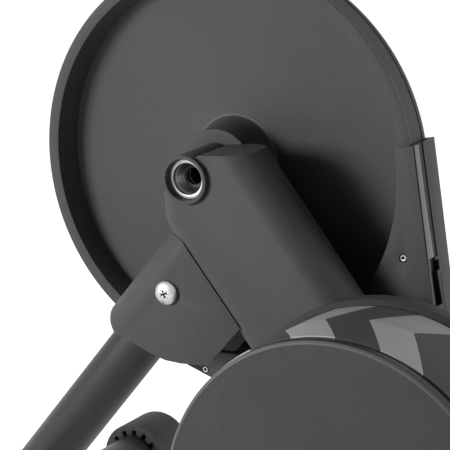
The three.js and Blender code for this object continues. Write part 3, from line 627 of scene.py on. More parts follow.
def zigzag_finish(name, coat):
    """Powder coat with pale zigzag stripes round the flywheel, each stripe painted lighter on its near limb and in
    painted shade on its far limb.
    """
    material, tree, shader, coordinates = surface(name)
    middle = spot(SHAFT[0], DRUM_NEAR + ZIGZAG_FOLD * (DRUM_FAR - DRUM_NEAR), SHAFT[1])
    place = tree.nodes.new("ShaderNodeMapping")
    place.inputs["Location"].default_value = -middle
    tree.links.new(coordinates, place.inputs["Vector"])
    split = tree.nodes.new("ShaderNodeSeparateXYZ")
    tree.links.new(place.outputs["Vector"], split.inputs["Vector"])
    x, y, z = (split.outputs[axis] for axis in "XYZ")
    angle = math_of(tree, "ARCTAN2", z, x)
    lean = math_of(tree, "MULTIPLY", math_of(tree, "ABSOLUTE", y), ZIGZAG_LEAN)
    stripes = math_of(tree, "MULTIPLY_ADD", math_of(tree, "ADD", angle, lean), ZIGZAGS / TURN, ZIGZAG_START)
    on_stripe = math_of(tree, "LESS_THAN", math_of(tree, "FRACT", stripes), 0.5)
    # Painted light and shade: the near limb of each stripe is painted lighter, the far limb darker
    painted_light_limb = math_of(tree, "LESS_THAN", y, 0.0)
    speckle = noise_of(tree, coordinates, 1 / bpy.context.scene.trainer_sizes.grain, 4.0, 0.7)
    grain = range_of(tree, speckle, 0, 1)
    pale = bpy.context.scene.trainer_colours.zigzag_light
    ground = shaded(tree, grain, tone(coat, 0.78), tone(coat, 1.2))
    painted_shade_stripe = shaded(tree, grain, tone(pale, 0.8), tone(pale, 0.9))
    painted_light_stripe = shaded(tree, grain, tone(pale, 0.95), tone(pale, 1.06))
    stripe = chosen_of(tree, painted_light_limb, painted_shade_stripe, painted_light_stripe)
    tree.links.new(chosen_of(tree, on_stripe, ground, stripe), shader.inputs["Base Color"])
    shader.inputs["Roughness"].default_value = 0.5
    shader.inputs["Specular IOR Level"].default_value = COAT_GLOSS
    relief(tree, shader, speckle, 0.25, 0.0002)
    return material


def plastic_finish(name, colour, roughness=0.55, grain=0.7):
    """Moulded plastic with a fine spark-eroded texture."""
    material, tree, shader, coordinates = surface(name)
    texture = noise_of(tree, coordinates, 1 / (grain * MM), 3.0, 0.6)
    factor = range_of(tree, noise_of(tree, coordinates, 25.0, 2.0, 0.5), 0, 1)
    tint(tree, shader, factor, tone(colour, 0.9), tone(colour, 1.12))
    tree.links.new(range_of(tree, texture, roughness - 0.08, roughness + 0.1), shader.inputs["Roughness"])
    shader.inputs["Specular IOR Level"].default_value = 0.2
    relief(tree, shader, texture, 0.3, 0.00015)
    return material


def steel_finish(name, colour, roughness=0.28, stretch=(40, 900, 40)):
    """Turned steel with fine tool lines round its axis."""
    material, tree, shader, coordinates = surface(name)
    lines = noise_of(tree, coordinates, 1.0, 3.0, 0.6, stretch)
    factor = range_of(tree, noise_of(tree, coordinates, 90.0, 2.0, 0.5), 0, 1)
    tint(tree, shader, factor, tone(colour, 0.86), tone(colour, 1.05))
    tree.links.new(range_of(tree, lines, roughness - 0.06, roughness + 0.14), shader.inputs["Roughness"])
    shader.inputs["Metallic"].default_value = 1.0
    relief(tree, shader, lines, 0.05, 0.00005)
    return material


def rubber_finish(name, colour):
    """Belt rubber with a woven back."""
    material, tree, shader, coordinates = surface(name)
    weave = tree.nodes.new("ShaderNodeTexWave")
    weave.inputs["Scale"].default_value = 260.0
    weave.inputs["Distortion"].default_value = 1.5
    weave.bands_direction = "Y"
    tree.links.new(coordinates, weave.inputs["Vector"])
    factor = range_of(tree, noise_of(tree, coordinates, 220.0, 3.0, 0.6), 0, 1)
    tint(tree, shader, factor, tone(colour, 0.8), tone(colour, 1.5))
    shader.inputs["Roughness"].default_value = 0.72
    shader.inputs["Specular IOR Level"].default_value = 0.15
    relief(tree, shader, weave.outputs["Fac"], 0.2, 0.0003)
    return material


def copper_finish(name):
    """Enamelled copper wire wound close, or a plain copper ring."""
    material, tree, shader, coordinates = surface(name)
    wires = tree.nodes.new("ShaderNodeTexWave")
    wires.inputs["Scale"].default_value = 190.0
    wires.bands_direction = "DIAGONAL"
    tree.links.new(coordinates, wires.inputs["Vector"])
    factor = range_of(tree, wires.outputs["Fac"], 0, 1, 0.2, 0.9)
    tint(tree, shader, factor, (0.16, 0.05, 0.015), (0.46, 0.17, 0.05))
    shader.inputs["Metallic"].default_value = 0.8
    shader.inputs["Roughness"].default_value = 0.36
    relief(tree, shader, wires.outputs["Fac"], 0.5, 0.0004)
    return material


def board_finish(name):
    """Circuit board: green lacquer over a net of copper tracks."""
    material, tree, shader, coordinates = surface(name)
    tracks = tree.nodes.new("ShaderNodeTexVoronoi")
    tracks.feature = "DISTANCE_TO_EDGE"
    tracks.inputs["Scale"].default_value = 160.0
    tree.links.new(coordinates, tracks.inputs["Vector"])
    factor = range_of(tree, tracks.outputs["Distance"], 0, 1, 0.05, 0.12)
    tint(tree, shader, factor, (0.05, 0.17, 0.06), (0.012, 0.06, 0.022))
    shader.inputs["Roughness"].default_value = 0.35
    relief(tree, shader, factor, 0.2, 0.0001)
    return material


# Each finish: its slot, what makes it, the colour that it starts from (one of the user's or
# its own), the share of that colour, and what else differs from the maker's own values
FINISHES = {
    "powder_coat": ("graphite", coat_finish, "coat", 1, {}),
    "cover_coat": ("graphite", coat_finish, "coat", 0.8, {}),
    # Painted highlight: a pale coat for rounded edges that should catch the light
    "rim_coat": ("graphite", coat_finish, "coat", 1.7, {"roughness": 0.45, "contrast": 0.12}),
    # Painted highlight: a still paler coat for the strip on the guard's flank
    "edge_coat": ("graphite", coat_finish, "coat", 2.7, {"roughness": 0.45, "contrast": 0.12}),
    "satin_coat": ("graphite", coat_finish, "coat", 0.36,
                   {"roughness": 0.38, "contrast": 0.16, "strength": 0.12, "gloss": 0.24}),
    "zigzag_coat": ("graphite", zigzag_finish, "coat", 1, {}),
    "dark_coat": ("graphite_dark", coat_finish, "dark_coat", 1, {"roughness": 0.55, "contrast": 0.2}),
    "cast_iron": ("iron", coat_finish, (0.16, 0.16, 0.17), 1, {"contrast": 0.2, "strength": 0.5}),
    # Painted shade: a dark rubber finish for the strip in the gap between the guard's halves
    "seal_rubber": ("black_plastic", rubber_finish, "coat", 0.6, {}),
    "cap_plastic": ("black_plastic", plastic_finish, "plastic", 1, {}),
    # Black plastic, also used as painted shade in bores and recesses
    "roller_plastic": ("black_plastic", plastic_finish, (0.02, 0.02, 0.021), 1, {"roughness": 0.4}),
    "belt_rubber": ("belt_rubber", rubber_finish, "belt", 1, {}),
    "turned_steel": ("steel", steel_finish, "steel", 0.8, {"roughness": 0.34}),
    "bright_steel": ("steel", steel_finish, "steel", 0.8, {"roughness": 0.34, "stretch": (200, 200, 200)}),
    "ring_steel": ("steel", steel_finish, "steel", 0.55, {"roughness": 0.38}),
    # Painted shade: a darker steel inside the adapter's bowl
    "bowl_steel": ("steel", steel_finish, "steel", 0.4, {"roughness": 0.34}),
    "wound_copper": ("copper", copper_finish, None, 1, {}),
    "circuit_board": ("board", board_finish, None, 1, {}),
}


def finish_named(name):
    """The material of that name, made on first use."""
    if name in bpy.data.materials:
        return bpy.data.materials[name]
    _, make, colour, share, values = FINISHES[name]
    if colour is None:
        return make(name)
    if isinstance(colour, str):
        colour = getattr(bpy.context.scene.trainer_colours, colour)
    return make(name, tone(colour, share), **values)


# Pieces

def arm_solid(name, grow=0.0):
    """The arm's rounded body, from the sleeve down to the flywheel shaft."""
    depth = ARM_DEPTH + grow
    circles = [
        (*SHAFT, ARM_END + grow),
        (*on_arm(-ARM_HALF, ARM_HALF - ARM_DEPTH), ARM_DEPTH + grow),
        (*on_arm(ARM_BEND[0], ARM_BEND[1]), ARM_BEND[2] + grow),
    ]
    return pillow(name, circles, PLANE_Y - depth, PLANE_Y + depth, ARM_EDGE)


def beyond(distance, angle):
    """A block past a line at a distance from the axle."""
    corners = [(distance, -FAR_OFF), (FAR_OFF, -FAR_OFF), (FAR_OFF, FAR_OFF), (distance, FAR_OFF)]
    return plate("beyond", [along(AXLE, angle, *corner) for corner in corners], -FAR_OFF, FAR_OFF)


class TRAINER_OT_arm(bpy.types.Operator):
    """Main arm with its cradle for the sleeve and its seat for the flywheel shaft"""
    bl_idname = "trainer.arm"
    bl_label = "Arm"

    def execute(self, context):
        arm = arm_solid("arm_casting")
        carve(
            arm,
            beyond(ARM_TOP_RISE * math.cos(ARM_TOP_SLOPE), ARM_TOP_SLOPE + TURN / 4),
            beyond(ARM_SHOULDER, ARM_SHOULDER_ANGLE),
            beyond(ARM_CORNER, ARM_CORNER_ANGLE),
            bore(SLEEVE + GAP, -FAR_OFF, ARM_FAR + OVERRUN, segments=160),
            bore(BOSS_RECESS, BOSS_FACE - RUN_GAP, ARM_FAR + OVERRUN, segments=160),
            bore(SHAFT_BEARING + GAP, ARM_NEAR - OVERRUN, ARM_FAR + OVERRUN, SHAFT),
        )
        soften(arm, plate_edge())
        dress(arm, "powder_coat", "frame", "main_arm")
        return {"FINISHED"}


class TRAINER_OT_sleeve(bpy.types.Operator):
    """Sleeve for the left dropout, its silver adapter and the hub axle"""
    bl_idname = "trainer.sleeve"
    bl_label = "Sleeve and adapter"

    def execute(self, context):
        sleeve = turned("dropout_sleeve", [
            (SLEEVE - SLEEVE_STEP, LEFT_DROPOUT), (SLEEVE - SLEEVE_STEP, SLEEVE_STEP_END),
            (SLEEVE, SLEEVE_STEP_END), (SLEEVE, BOSS_FACE - RUN_GAP),
            (HUB_AXLE + GAP, BOSS_FACE - RUN_GAP), (HUB_AXLE + GAP, ADAPTER_END + GAP),
            (ADAPTER + GAP, ADAPTER_END + GAP), (ADAPTER + GAP, LEFT_DROPOUT + 0.5),
            (SLEEVE_MOUTH, LEFT_DROPOUT),
        ])
        soften(sleeve, 0.15 * MM, 25)
        dress(sleeve, "powder_coat", "frame", "axle_sleeve")
        # Painted shade: the bore's walls inside the sleeve's mouth are painted black
        paint(sleeve, "roller_plastic", band(0, SLEEVE_MOUTH, y1=ADAPTER_START))
        # The adapter's bowl, from its bore out to its mouth, as (radius, depth)
        bowl = [(BORE, 10.5), (8.4, 10.5), (8.9, 9.6), (11.2, 3.4), (11.6, 3.2), (11.9, 0)]
        adapter = turned("silver_adapter", [
            (ADAPTER, ADAPTER_START), (ADAPTER, ADAPTER_END), (BORE, ADAPTER_END),
            *[(radius, ADAPTER_START + depth) for radius, depth in bowl]])
        soften(adapter, 0.25 * MM, 18)
        dress(adapter, "ring_steel", "frame", "dropout_adapter")
        # Painted shade: the adapter's bowl is painted darker steel and the deep middle of its bore black
        paint(adapter, "bowl_steel", band(0, 11.7))
        paint(adapter, "roller_plastic", band(0, 8.5))
        axle = ring("hub_axle_tube", HUB_AXLE, BORE, ADAPTER_END + GAP, HUB_AXLE_END)
        soften(axle, fine_edge())
        dress(axle, "turned_steel", "frame", "hub_axle")
        # Painted shade: the axle tube's bore is painted black
        paint(axle, "roller_plastic", band(0, BORE + 0.2))
        return {"FINISHED"}


def ribbed(radius):
    """Ribs of the belt, or the grooves of its wheel, as (radius, y)."""
    pitch = BELT_WIDTH / BELT_RIBS
    places = []
    for i in range(BELT_RIBS):
        y = BELT_MIDDLE - BELT_WIDTH / 2 + i * pitch
        places += [(radius, y + 0.2), (radius, y + 0.6), (radius - RIB_DEPTH, y + pitch / 2 - 0.3),
                   (radius - RIB_DEPTH, y + pitch / 2 + 0.3), (radius, y + pitch - 0.6)]
    places.append((radius, BELT_MIDDLE + BELT_WIDTH / 2 - 0.1))
    return places


def bearing_rings(name, start, steps, dip, edge, body, node):
    """A bearing's rings with its seal sunk between them, from the radii of its steps."""
    bore_radius, seal_start, seal_inner, seal_outer, seal_end, outer = steps
    bearing = turned(name, [
        (bore_radius, start), (seal_start, start), (seal_inner, start + dip), (seal_outer, start + dip),
        (seal_end, start), (outer, start), (outer, start + BEARING_WIDTH),
        (bore_radius, start + BEARING_WIDTH)], segments=96)
    soften(bearing, edge)
    dress(bearing, "turned_steel", body, node)


class TRAINER_OT_wheel(bpy.types.Operator):
    """Big belt wheel with its dished face, hub and bearings"""
    bl_idname = "trainer.wheel"
    bl_label = "Belt wheel"

    def execute(self, context):
        flare = [(30.2, 5), (33.4, 18.4), (34.0, 19.5), (34.9, FLOOR_DEPTH)]
        web, hub_end = WHEEL_WIDTH - 2.4, 30.6
        wheel = turned("belt_wheel", [
            (BEARING_SEAT, BOSS_FACE), (BOSS, BOSS_FACE), *flare,
            *round_corner(FLOOR_RADIUS, FLOOR_DEPTH, 2.2, 6, -1),
            (RIM_INNER, 0), (WHEEL, 0), (WHEEL, CHANNEL_NEAR), (BELT_SEAT, CHANNEL_NEAR),
            *ribbed(BELT_SEAT), (BELT_SEAT, CHANNEL_FAR), (WHEEL, CHANNEL_FAR), (WHEEL, WHEEL_WIDTH),
            (146, WHEEL_WIDTH), (143.5, web), (42, web), (36, WHEEL_WIDTH), (23, WHEEL_WIDTH),
            (23, hub_end), (BEARING_SEAT, hub_end), (BEARING_SEAT, 23), (10.2, 23), (10.2, -2.4),
            (BEARING_SEAT, -2.4),
        ], segments=256)
        soften(wheel, 0.5 * MM, 28, 3)
        dress(wheel, "powder_coat", "drive_wheel_body", "drive_wheel")
        # Painted highlight: a pale ring at the foot of the boss, where its fillet catches the light
        paint(wheel, "rim_coat", band(33.5, 35.2, 18, FLOOR_DEPTH))
        for side, start in (("near", BOSS_FACE + GAP), ("far", hub_end - GAP - BEARING_WIDTH)):
            bearing_rings(f"hub_bearing_{side}_rings", start, (8.8, 10.6, 10.9, 12.6, 12.9, 14.7), 0.5,
                          0.2 * MM, "drive_wheel_body", f"hub_bearing_{side}")
        return {"FINISHED"}


class TRAINER_OT_belt(bpy.types.Operator):
    """Ribbed belt round both wheels, and the small belt wheel"""
    bl_idname = "trainer.belt"
    bl_label = "Belt"

    def execute(self, context):
        section = ribbed(BELT_GAP)
        back = BELT_GAP + BELT_THICKNESS - RIB_DEPTH
        near, far = BELT_MIDDLE - BELT_WIDTH / 2, BELT_MIDDLE + BELT_WIDTH / 2
        section += [(back - 0.4, far), (back, far - 0.4), (back, near + 0.4), (back - 0.4, near)]
        stations = []
        for centre, seat, start, sweep, count in (
                (AXLE, BELT_SEAT, RIGHT_NORMAL, TURN - 2 * WRAP, 200),
                (SHAFT, PINION, LEFT_NORMAL, 2 * WRAP, 48)):
            stations += [(centre, seat, start + sweep * i / count) for i in range(count + 1)]
        sections = []
        for centre, seat, angle in stations:
            places = [along(centre, angle, seat + rise, 0) for rise, _ in section]
            sections.append([(x, y, z) for (x, z), (_, y) in zip(places, section)])
        belt = swept("belt_loop", sections, closed=True)
        soften(belt, 0)
        dress(belt, "belt_rubber", "frame", "drive_belt")
        pinion = turned("belt_pinion", [
            (8, PINION_NEAR), (PINION_FLANGE, PINION_NEAR), (PINION_FLANGE, CHANNEL_NEAR - GAP),
            (PINION, CHANNEL_NEAR), *ribbed(PINION), (PINION, CHANNEL_FAR),
            (PINION_FLANGE, CHANNEL_FAR + GAP), (PINION_FLANGE, PINION_FAR), (8, PINION_FAR)], SHAFT, 96)
        soften(pinion, 0.2 * MM)
        dress(pinion, "turned_steel", "flywheel", "small_belt_wheel")
        return {"FINISHED"}


class TRAINER_OT_freehub(bpy.types.Operator):
    """Splined freehub body, its bearings and the drive side end cap"""
    bl_idname = "trainer.freehub"
    bl_label = "Freehub"

    def execute(self, context):
        splines, groove, land = 9, 15.6, 17
        outline = []
        for i in range(splines):
            start, rise, end = (TURN / splines * share for share in (i, i + 0.4, i + 1))
            outline += [along(AXLE, start + (rise - start) * k / 6, groove, 0) for k in range(7)]
            outline += [along(AXLE, rise + (end - rise) * k / 8, land, 0) for k in range(9)]
        body = plate("freehub_splines", outline, 33.4, 68.5)
        carve(body, ring("flange", 19.5, 0, 31.4, 35.4), operation="UNION")
        carve(body, bore(13.1, 26, 74))
        soften(body, 0.25 * MM)
        dress(body, "turned_steel", "freehub", "freehub_body")
        for side, start in (("inner", 33.4), ("outer", 59.5)):
            bearing_rings(f"freehub_bearing_{side}_rings", start, (8.8, 10.1, 10.3, 11.4, 11.6, 12.8), 0.4,
                          0.15 * MM, "frame", f"freehub_bearing_{side}")
        cap = turned("drive_side_cap", [
            (BORE, 69.4), (12.4, 69.4), (12.4, 71.8), (9.5, 71.8), (9.5, 82), (BORE, 82)], segments=96)
        soften(cap, fine_edge())
        dress(cap, "turned_steel", "frame", "drive_end_cap")
        return {"FINISHED"}


def nose_arc(radius, steps=24):
    """The half round of the bracket's folded nose, as (side, y)."""
    angles = [-TURN / 4 + TURN / 2 * i / steps for i in range(steps + 1)]
    return [(NOSE_SIDE + radius * math.cos(a), radius * math.sin(a)) for a in angles]


def bolt_bore():
    """The tool for the bolt's hole through the bracket and the front leg."""
    return bore(BOLT_HOLE, PLANE_Y - 60, PLANE_Y + 60, LEG_BOLT)


class TRAINER_OT_bracket(bpy.types.Operator):
    """Folded plate bracket that holds the front leg, with its through bolt"""
    bl_idname = "trainer.bracket"
    bl_label = "Leg bracket"

    def execute(self, context):
        inner, back = NOSE - BRACKET_PLATE, -110
        section = [(back, -NOSE), *nose_arc(NOSE), (back, NOSE),
                   (back, inner), *reversed(nose_arc(inner)), (back, -inner)]
        sections = []
        for station in (-THROUGH, THROUGH):
            places = [on_leg(station, side) for side, _ in section]
            sections.append([(x, PLANE_Y + y, z) for (x, z), (_, y) in zip(places, section)])
        bracket = swept("leg_bracket_plate", sections)
        outline = [on_leg(*place) for place in BRACKET_OUTLINE]
        carve(bracket, plate("tool", outline, PLANE_Y - 40, PLANE_Y + 40), operation="INTERSECT")
        carve(bracket, arm_solid("tool", GAP), bolt_bore())
        soften(bracket, plate_edge(), 40)
        dress(bracket, "powder_coat", "frame", "leg_bracket")

        seat, far_seat = PLANE_Y - NOSE - GAP, PLANE_Y + NOSE
        dome = [(BOLT_HEAD * math.cos(a), seat - 1.2 - 4.0 * math.sin(a)) for a in quarter(10)[:8]]
        bolt = turned("bracket_bolt", [
            (0, seat - 5.2), *reversed(dome), (BOLT_HEAD, seat),
            (5, seat), (5, far_seat + 9.2), (0, far_seat + 9.2)], LEG_BOLT, 96)
        arm, half = 3.0, 0.65
        cross = [plate("tool", [along(LEG_BOLT, a, *corner) for corner in
                                ((-arm, -half), (arm, -half), (arm, half), (-arm, half))],
                       seat - 8, seat - 3.2) for a in (math.radians(25), math.radians(115))]
        carve(bolt, *cross)
        soften(bolt, 0.12 * MM)
        dress(bolt, "bright_steel", "frame", "leg_bolt")
        # Painted shade: the cross recess in the bolt's head is painted black
        paint(bolt, "roller_plastic", band(0, 3.2, seat - 4.9, seat - 3.0, LEG_BOLT))
        washer = ring("bracket_washer", 11, BOLT_HOLE, far_seat + GAP, far_seat + GAP + 1.6, LEG_BOLT)
        soften(washer, 0.2 * MM)
        dress(washer, "bright_steel", "frame", "leg_washer")
        nut_start = far_seat + 2.2
        nut = ring("bracket_nut", 9.4, 0, nut_start, nut_start + 7, LEG_BOLT, 6)
        carve(nut, bore(BOLT_HOLE, nut_start - OVERRUN, nut_start + 12, LEG_BOLT))
        soften(nut, 0.4 * MM)
        dress(nut, "bright_steel", "frame", "leg_nut")
        return {"FINISHED"}


class TRAINER_OT_legs(bpy.types.Operator):
    """Front and rear leg tubes"""
    bl_idname = "trainer.legs"
    bl_label = "Legs"

    def execute(self, context):
        seat, inside = LEG_FOOT + SOCKET_SEAT, TUBE - TUBE_WALL
        front = rod("front_leg_tube", on_leg(seat, 0), on_leg(14, 0), TUBE, 128)
        carve(front, rod("tool", on_leg(seat - OVERRUN, 0), on_leg(20, 0), inside, 128), bolt_bore())
        rear = rod("rear_leg_tube", on_rear_leg(SOCKET_SEAT), on_rear_leg(REAR_LEG_LENGTH - ARM_END / 2),
                   TUBE, 128)
        carve(rear, rod("tool", on_rear_leg(SOCKET_SEAT - OVERRUN), SHAFT, inside, 128),
              arm_solid("tool", GAP))
        for leg, node in ((front, "front_leg"), (rear, "rear_leg")):
            soften(leg, plate_edge(), 30)
            dress(leg, "satin_coat", "frame", node)
        return {"FINISHED"}


class TRAINER_OT_feet(bpy.types.Operator):
    """Leg sockets, crossbars and moulded caps with pockets round the bar"""
    bl_idname = "trainer.feet"
    bl_label = "Feet"

    def execute(self, context):
        y0, y1 = PLANE_Y - SOCKET_DEPTH / 2, PLANE_Y + SOCKET_DEPTH / 2
        legs = {
            "front": (FRONT_BAR, lambda distance: on_leg(LEG_FOOT + distance, 0), 40),
            "rear": (REAR_BAR, on_rear_leg, 8),
        }
        for end, (bar, place, reach) in legs.items():
            socket = pillow(f"{end}_leg_socket", [(*bar, SOCKET), (*place(reach), SOCKET)], y0, y1, 5, 128, 6)
            carve(socket, bore(TUBE + GAP, -THROUGH, THROUGH, bar),
                  rod("tool", place(SOCKET_SEAT - GAP), place(THROUGH), TUBE + GAP))
            soften(socket, plate_edge(), 40)
            dress(socket, "powder_coat", "frame", f"{end}_socket")
            tube = ring(f"{end}_bar_tube", TUBE, TUBE - TUBE_WALL, *FRONT_REACH, bar, 128)
            soften(tube, fine_edge())
            dress(tube, "satin_coat", "frame", f"{end}_crossbar")
            self.cap(context, end, "near", bar, FRONT_REACH[0] - CAP_OVERHANG, 1)
            self.cap(context, end, "far", bar, FRONT_REACH[1] + CAP_OVERHANG, -1)
        return {"FINISHED"}

    def cap(self, context, end, side, bar, outer, way):
        """A cap from its outer face inward, with its pockets and the narrow flat that it stands on."""
        mouth, inside = outer + way * CAP_LENGTH, outer + way * CAP_WALL
        cap = turned(f"{end}_foot_cap_{side}", [
            (0, outer), *round_corner(CAP, outer, CAP_ROUND, 8, way), (CAP, mouth),
            (TUBE + GAP, mouth), (TUBE + GAP, inside), (0, inside)], bar, 128)
        low, high, half = 19.7, 24.6, 2.1
        depths = sorted((mouth - way * 4, mouth + way * OVERRUN))
        tools = []
        for i in range(CAP_POCKETS):
            angle = TURN * (i + 0.5) / CAP_POCKETS
            corners = [along(bar, angle, *corner) for corner in
                       ((low, -half), (high, -half), (high, half), (low, half))]
            tools.append(plate("tool", corners, *depths))
        pockets = tools[0]
        with context.temp_override(active_object=pockets, selected_editable_objects=tools):
            bpy.ops.object.join()
        top, width, depth = bar[1] - CAP + CAP_FLAT, 50, 300
        sole = plate("tool", [(bar[0] - width, top - width), (bar[0] + width, top - width),
                              (bar[0] + width, top), (bar[0] - width, top)], -depth, depth)
        carve(cap, pockets, sole)
        soften(cap, 0.4 * MM, 35, 2)
        dress(cap, "cap_plastic", "frame", f"{end}_cap_{side}")


class TRAINER_OT_housing(bpy.types.Operator):
    """Static brake housing between the arm and the flywheel"""
    bl_idname = "trainer.housing"
    bl_label = "Brake housing"

    def execute(self, context):
        seat, wall, sheet, hub = ARM_NEAR - GAP, HOUSING - 4, 3.2, 22
        housing = turned("housing_cup", [
            (hub, seat), (wall, seat), (wall, HOUSING_BACK), (HOUSING, HOUSING_BACK),
            (HOUSING, HOUSING_FRONT + 3), (HOUSING - 3, HOUSING_FRONT), (wall, HOUSING_FRONT),
            (wall, seat - sheet), (hub, seat - sheet)], SHAFT)
        carve(housing, arm_solid("tool", GAP), rod("tool", REAR_BAR, SHAFT, TUBE + RUN_GAP))
        soften(housing, fine_edge(), 30)
        dress(housing, "dark_coat", "frame", "brake_housing")
        return {"FINISHED"}


class TRAINER_OT_flywheel(bpy.types.Operator):
    """Flywheel drum with its zigzag band, front cover, shaft, nut and eddy ring"""
    bl_idname = "trainer.flywheel"
    bl_label = "Flywheel"

    def execute(self, context):
        web, wall, hub = DRUM_NEAR + 9, DRUM - 17, 22
        posts = [along(SHAFT, ARM_ANGLE + TURN * i / 3, POST_CIRCLE, 0) for i in range(3)]
        drum = turned("flywheel_drum_wall", [
            (8, DRUM_NEAR), (DRUM, DRUM_NEAR), (DRUM, DRUM_FAR), (wall, DRUM_FAR), (wall, web),
            (hub, web), (hub, web + 32), (8, web + 32)], SHAFT, 256)
        carve(drum, *[bore(6.3, DRUM_NEAR - OVERRUN, web + OVERRUN, place, 48) for place in posts])
        soften(drum, 0.9 * MM, 30, 4)
        dress(drum, "zigzag_coat", "flywheel", "flywheel_drum")
        inside, floor, groove = COVER - COVER_WALL, COVER_FRONT + COVER_WALL, COVER - 1.2
        cover = turned("flywheel_front", [
            (0, COVER_FRONT), *round_corner(COVER, COVER_FRONT, COVER_WALL, 6),
            (COVER, COVER_BACK - 2.2), (groove, COVER_BACK - 1.6), (groove, COVER_BACK - 0.9),
            (COVER, COVER_BACK - 0.5), (COVER, COVER_BACK), (inside, COVER_BACK),
            (inside, floor), (0, floor)], SHAFT, 256)
        carve(cover, *[ring("post", 6, 0, COVER_FRONT + COVER_WALL / 2, web, place, 48) for place in posts],
              operation="UNION")
        soften(cover, 0.25 * MM, 32, 2)
        dress(cover, "cover_coat", "flywheel", "flywheel_cover")
        # Painted highlight: the cover's rounded front edge is painted pale, as if it caught the light
        paint(cover, "rim_coat", band(COVER - 2.5, math.inf, centre=SHAFT))
        paint(cover, "roller_plastic", band(0, math.inf, COVER_FRONT + 2.2))
        eddy = ring("eddy_ring_band", wall - GAP, wall - GAP - 5, web + 8, web + 68, SHAFT, 192)
        soften(eddy, fine_edge())
        dress(eddy, "wound_copper", "flywheel", "eddy_ring")
        near = DRUM_NEAR - 4.9
        shaft = ring("flywheel_spindle", 7.7, 0, near, PINION_FAR, SHAFT)
        soften(shaft, fine_edge())
        dress(shaft, "turned_steel", "flywheel", "flywheel_shaft")
        nut = ring("spindle_nut", 12, 0, near, near + 4.6, SHAFT, 6)
        carve(nut, bore(8, near - OVERRUN, near + 10, SHAFT))
        soften(nut, 0.4 * MM)
        dress(nut, "bright_steel", "flywheel", "shaft_nut")
        width = SHAFT_BEARING_WIDTH
        for side, start in (("near", ARM_NEAR + GAP), ("far", ARM_FAR - GAP - width)):
            bearing = ring(f"shaft_bearing_{side}_rings", SHAFT_BEARING, 8, start, start + width, SHAFT)
            soften(bearing, fine_edge())
            dress(bearing, "turned_steel", "frame", f"shaft_bearing_{side}")
        return {"FINISHED"}


BELT_BACK = BELT_GAP + BELT_THICKNESS - RIB_DEPTH


def guard_outline(rise, right_lead, left_lead):
    """Outline of the guard round the belt's two runs and the small wheel."""
    big, small = BELT_SEAT + BELT_BACK + rise, PINION + BELT_BACK + rise
    turn = [RIGHT_NORMAL - 2 * WRAP * i / 32 for i in range(33)]
    top = along(AXLE, RIGHT_NORMAL, big, right_lead)
    return [along(top, GUARD_TOP_SLOPE, -60, 0), top, *[along(SHAFT, a, small, 0) for a in turn],
            along(AXLE, LEFT_NORMAL, big, left_lead)]


def on_flank(station, rise, y):
    """A place on the guard's right side: station down the belt's run, rise above its back, and y."""
    x, z = along(AXLE, RIGHT_NORMAL, BELT_SEAT + BELT_BACK + rise, -station)
    return (x, y, z)


def flank_strip(name, marks, low, high):
    """A strip on the guard's right side from marks of (station, near y, far y)."""
    return swept(name, [[on_flank(s, low, y0), on_flank(s, high[0], y0), on_flank(s, high[1], y1),
                         on_flank(s, low, y1)] for s, y0, y1 in marks])


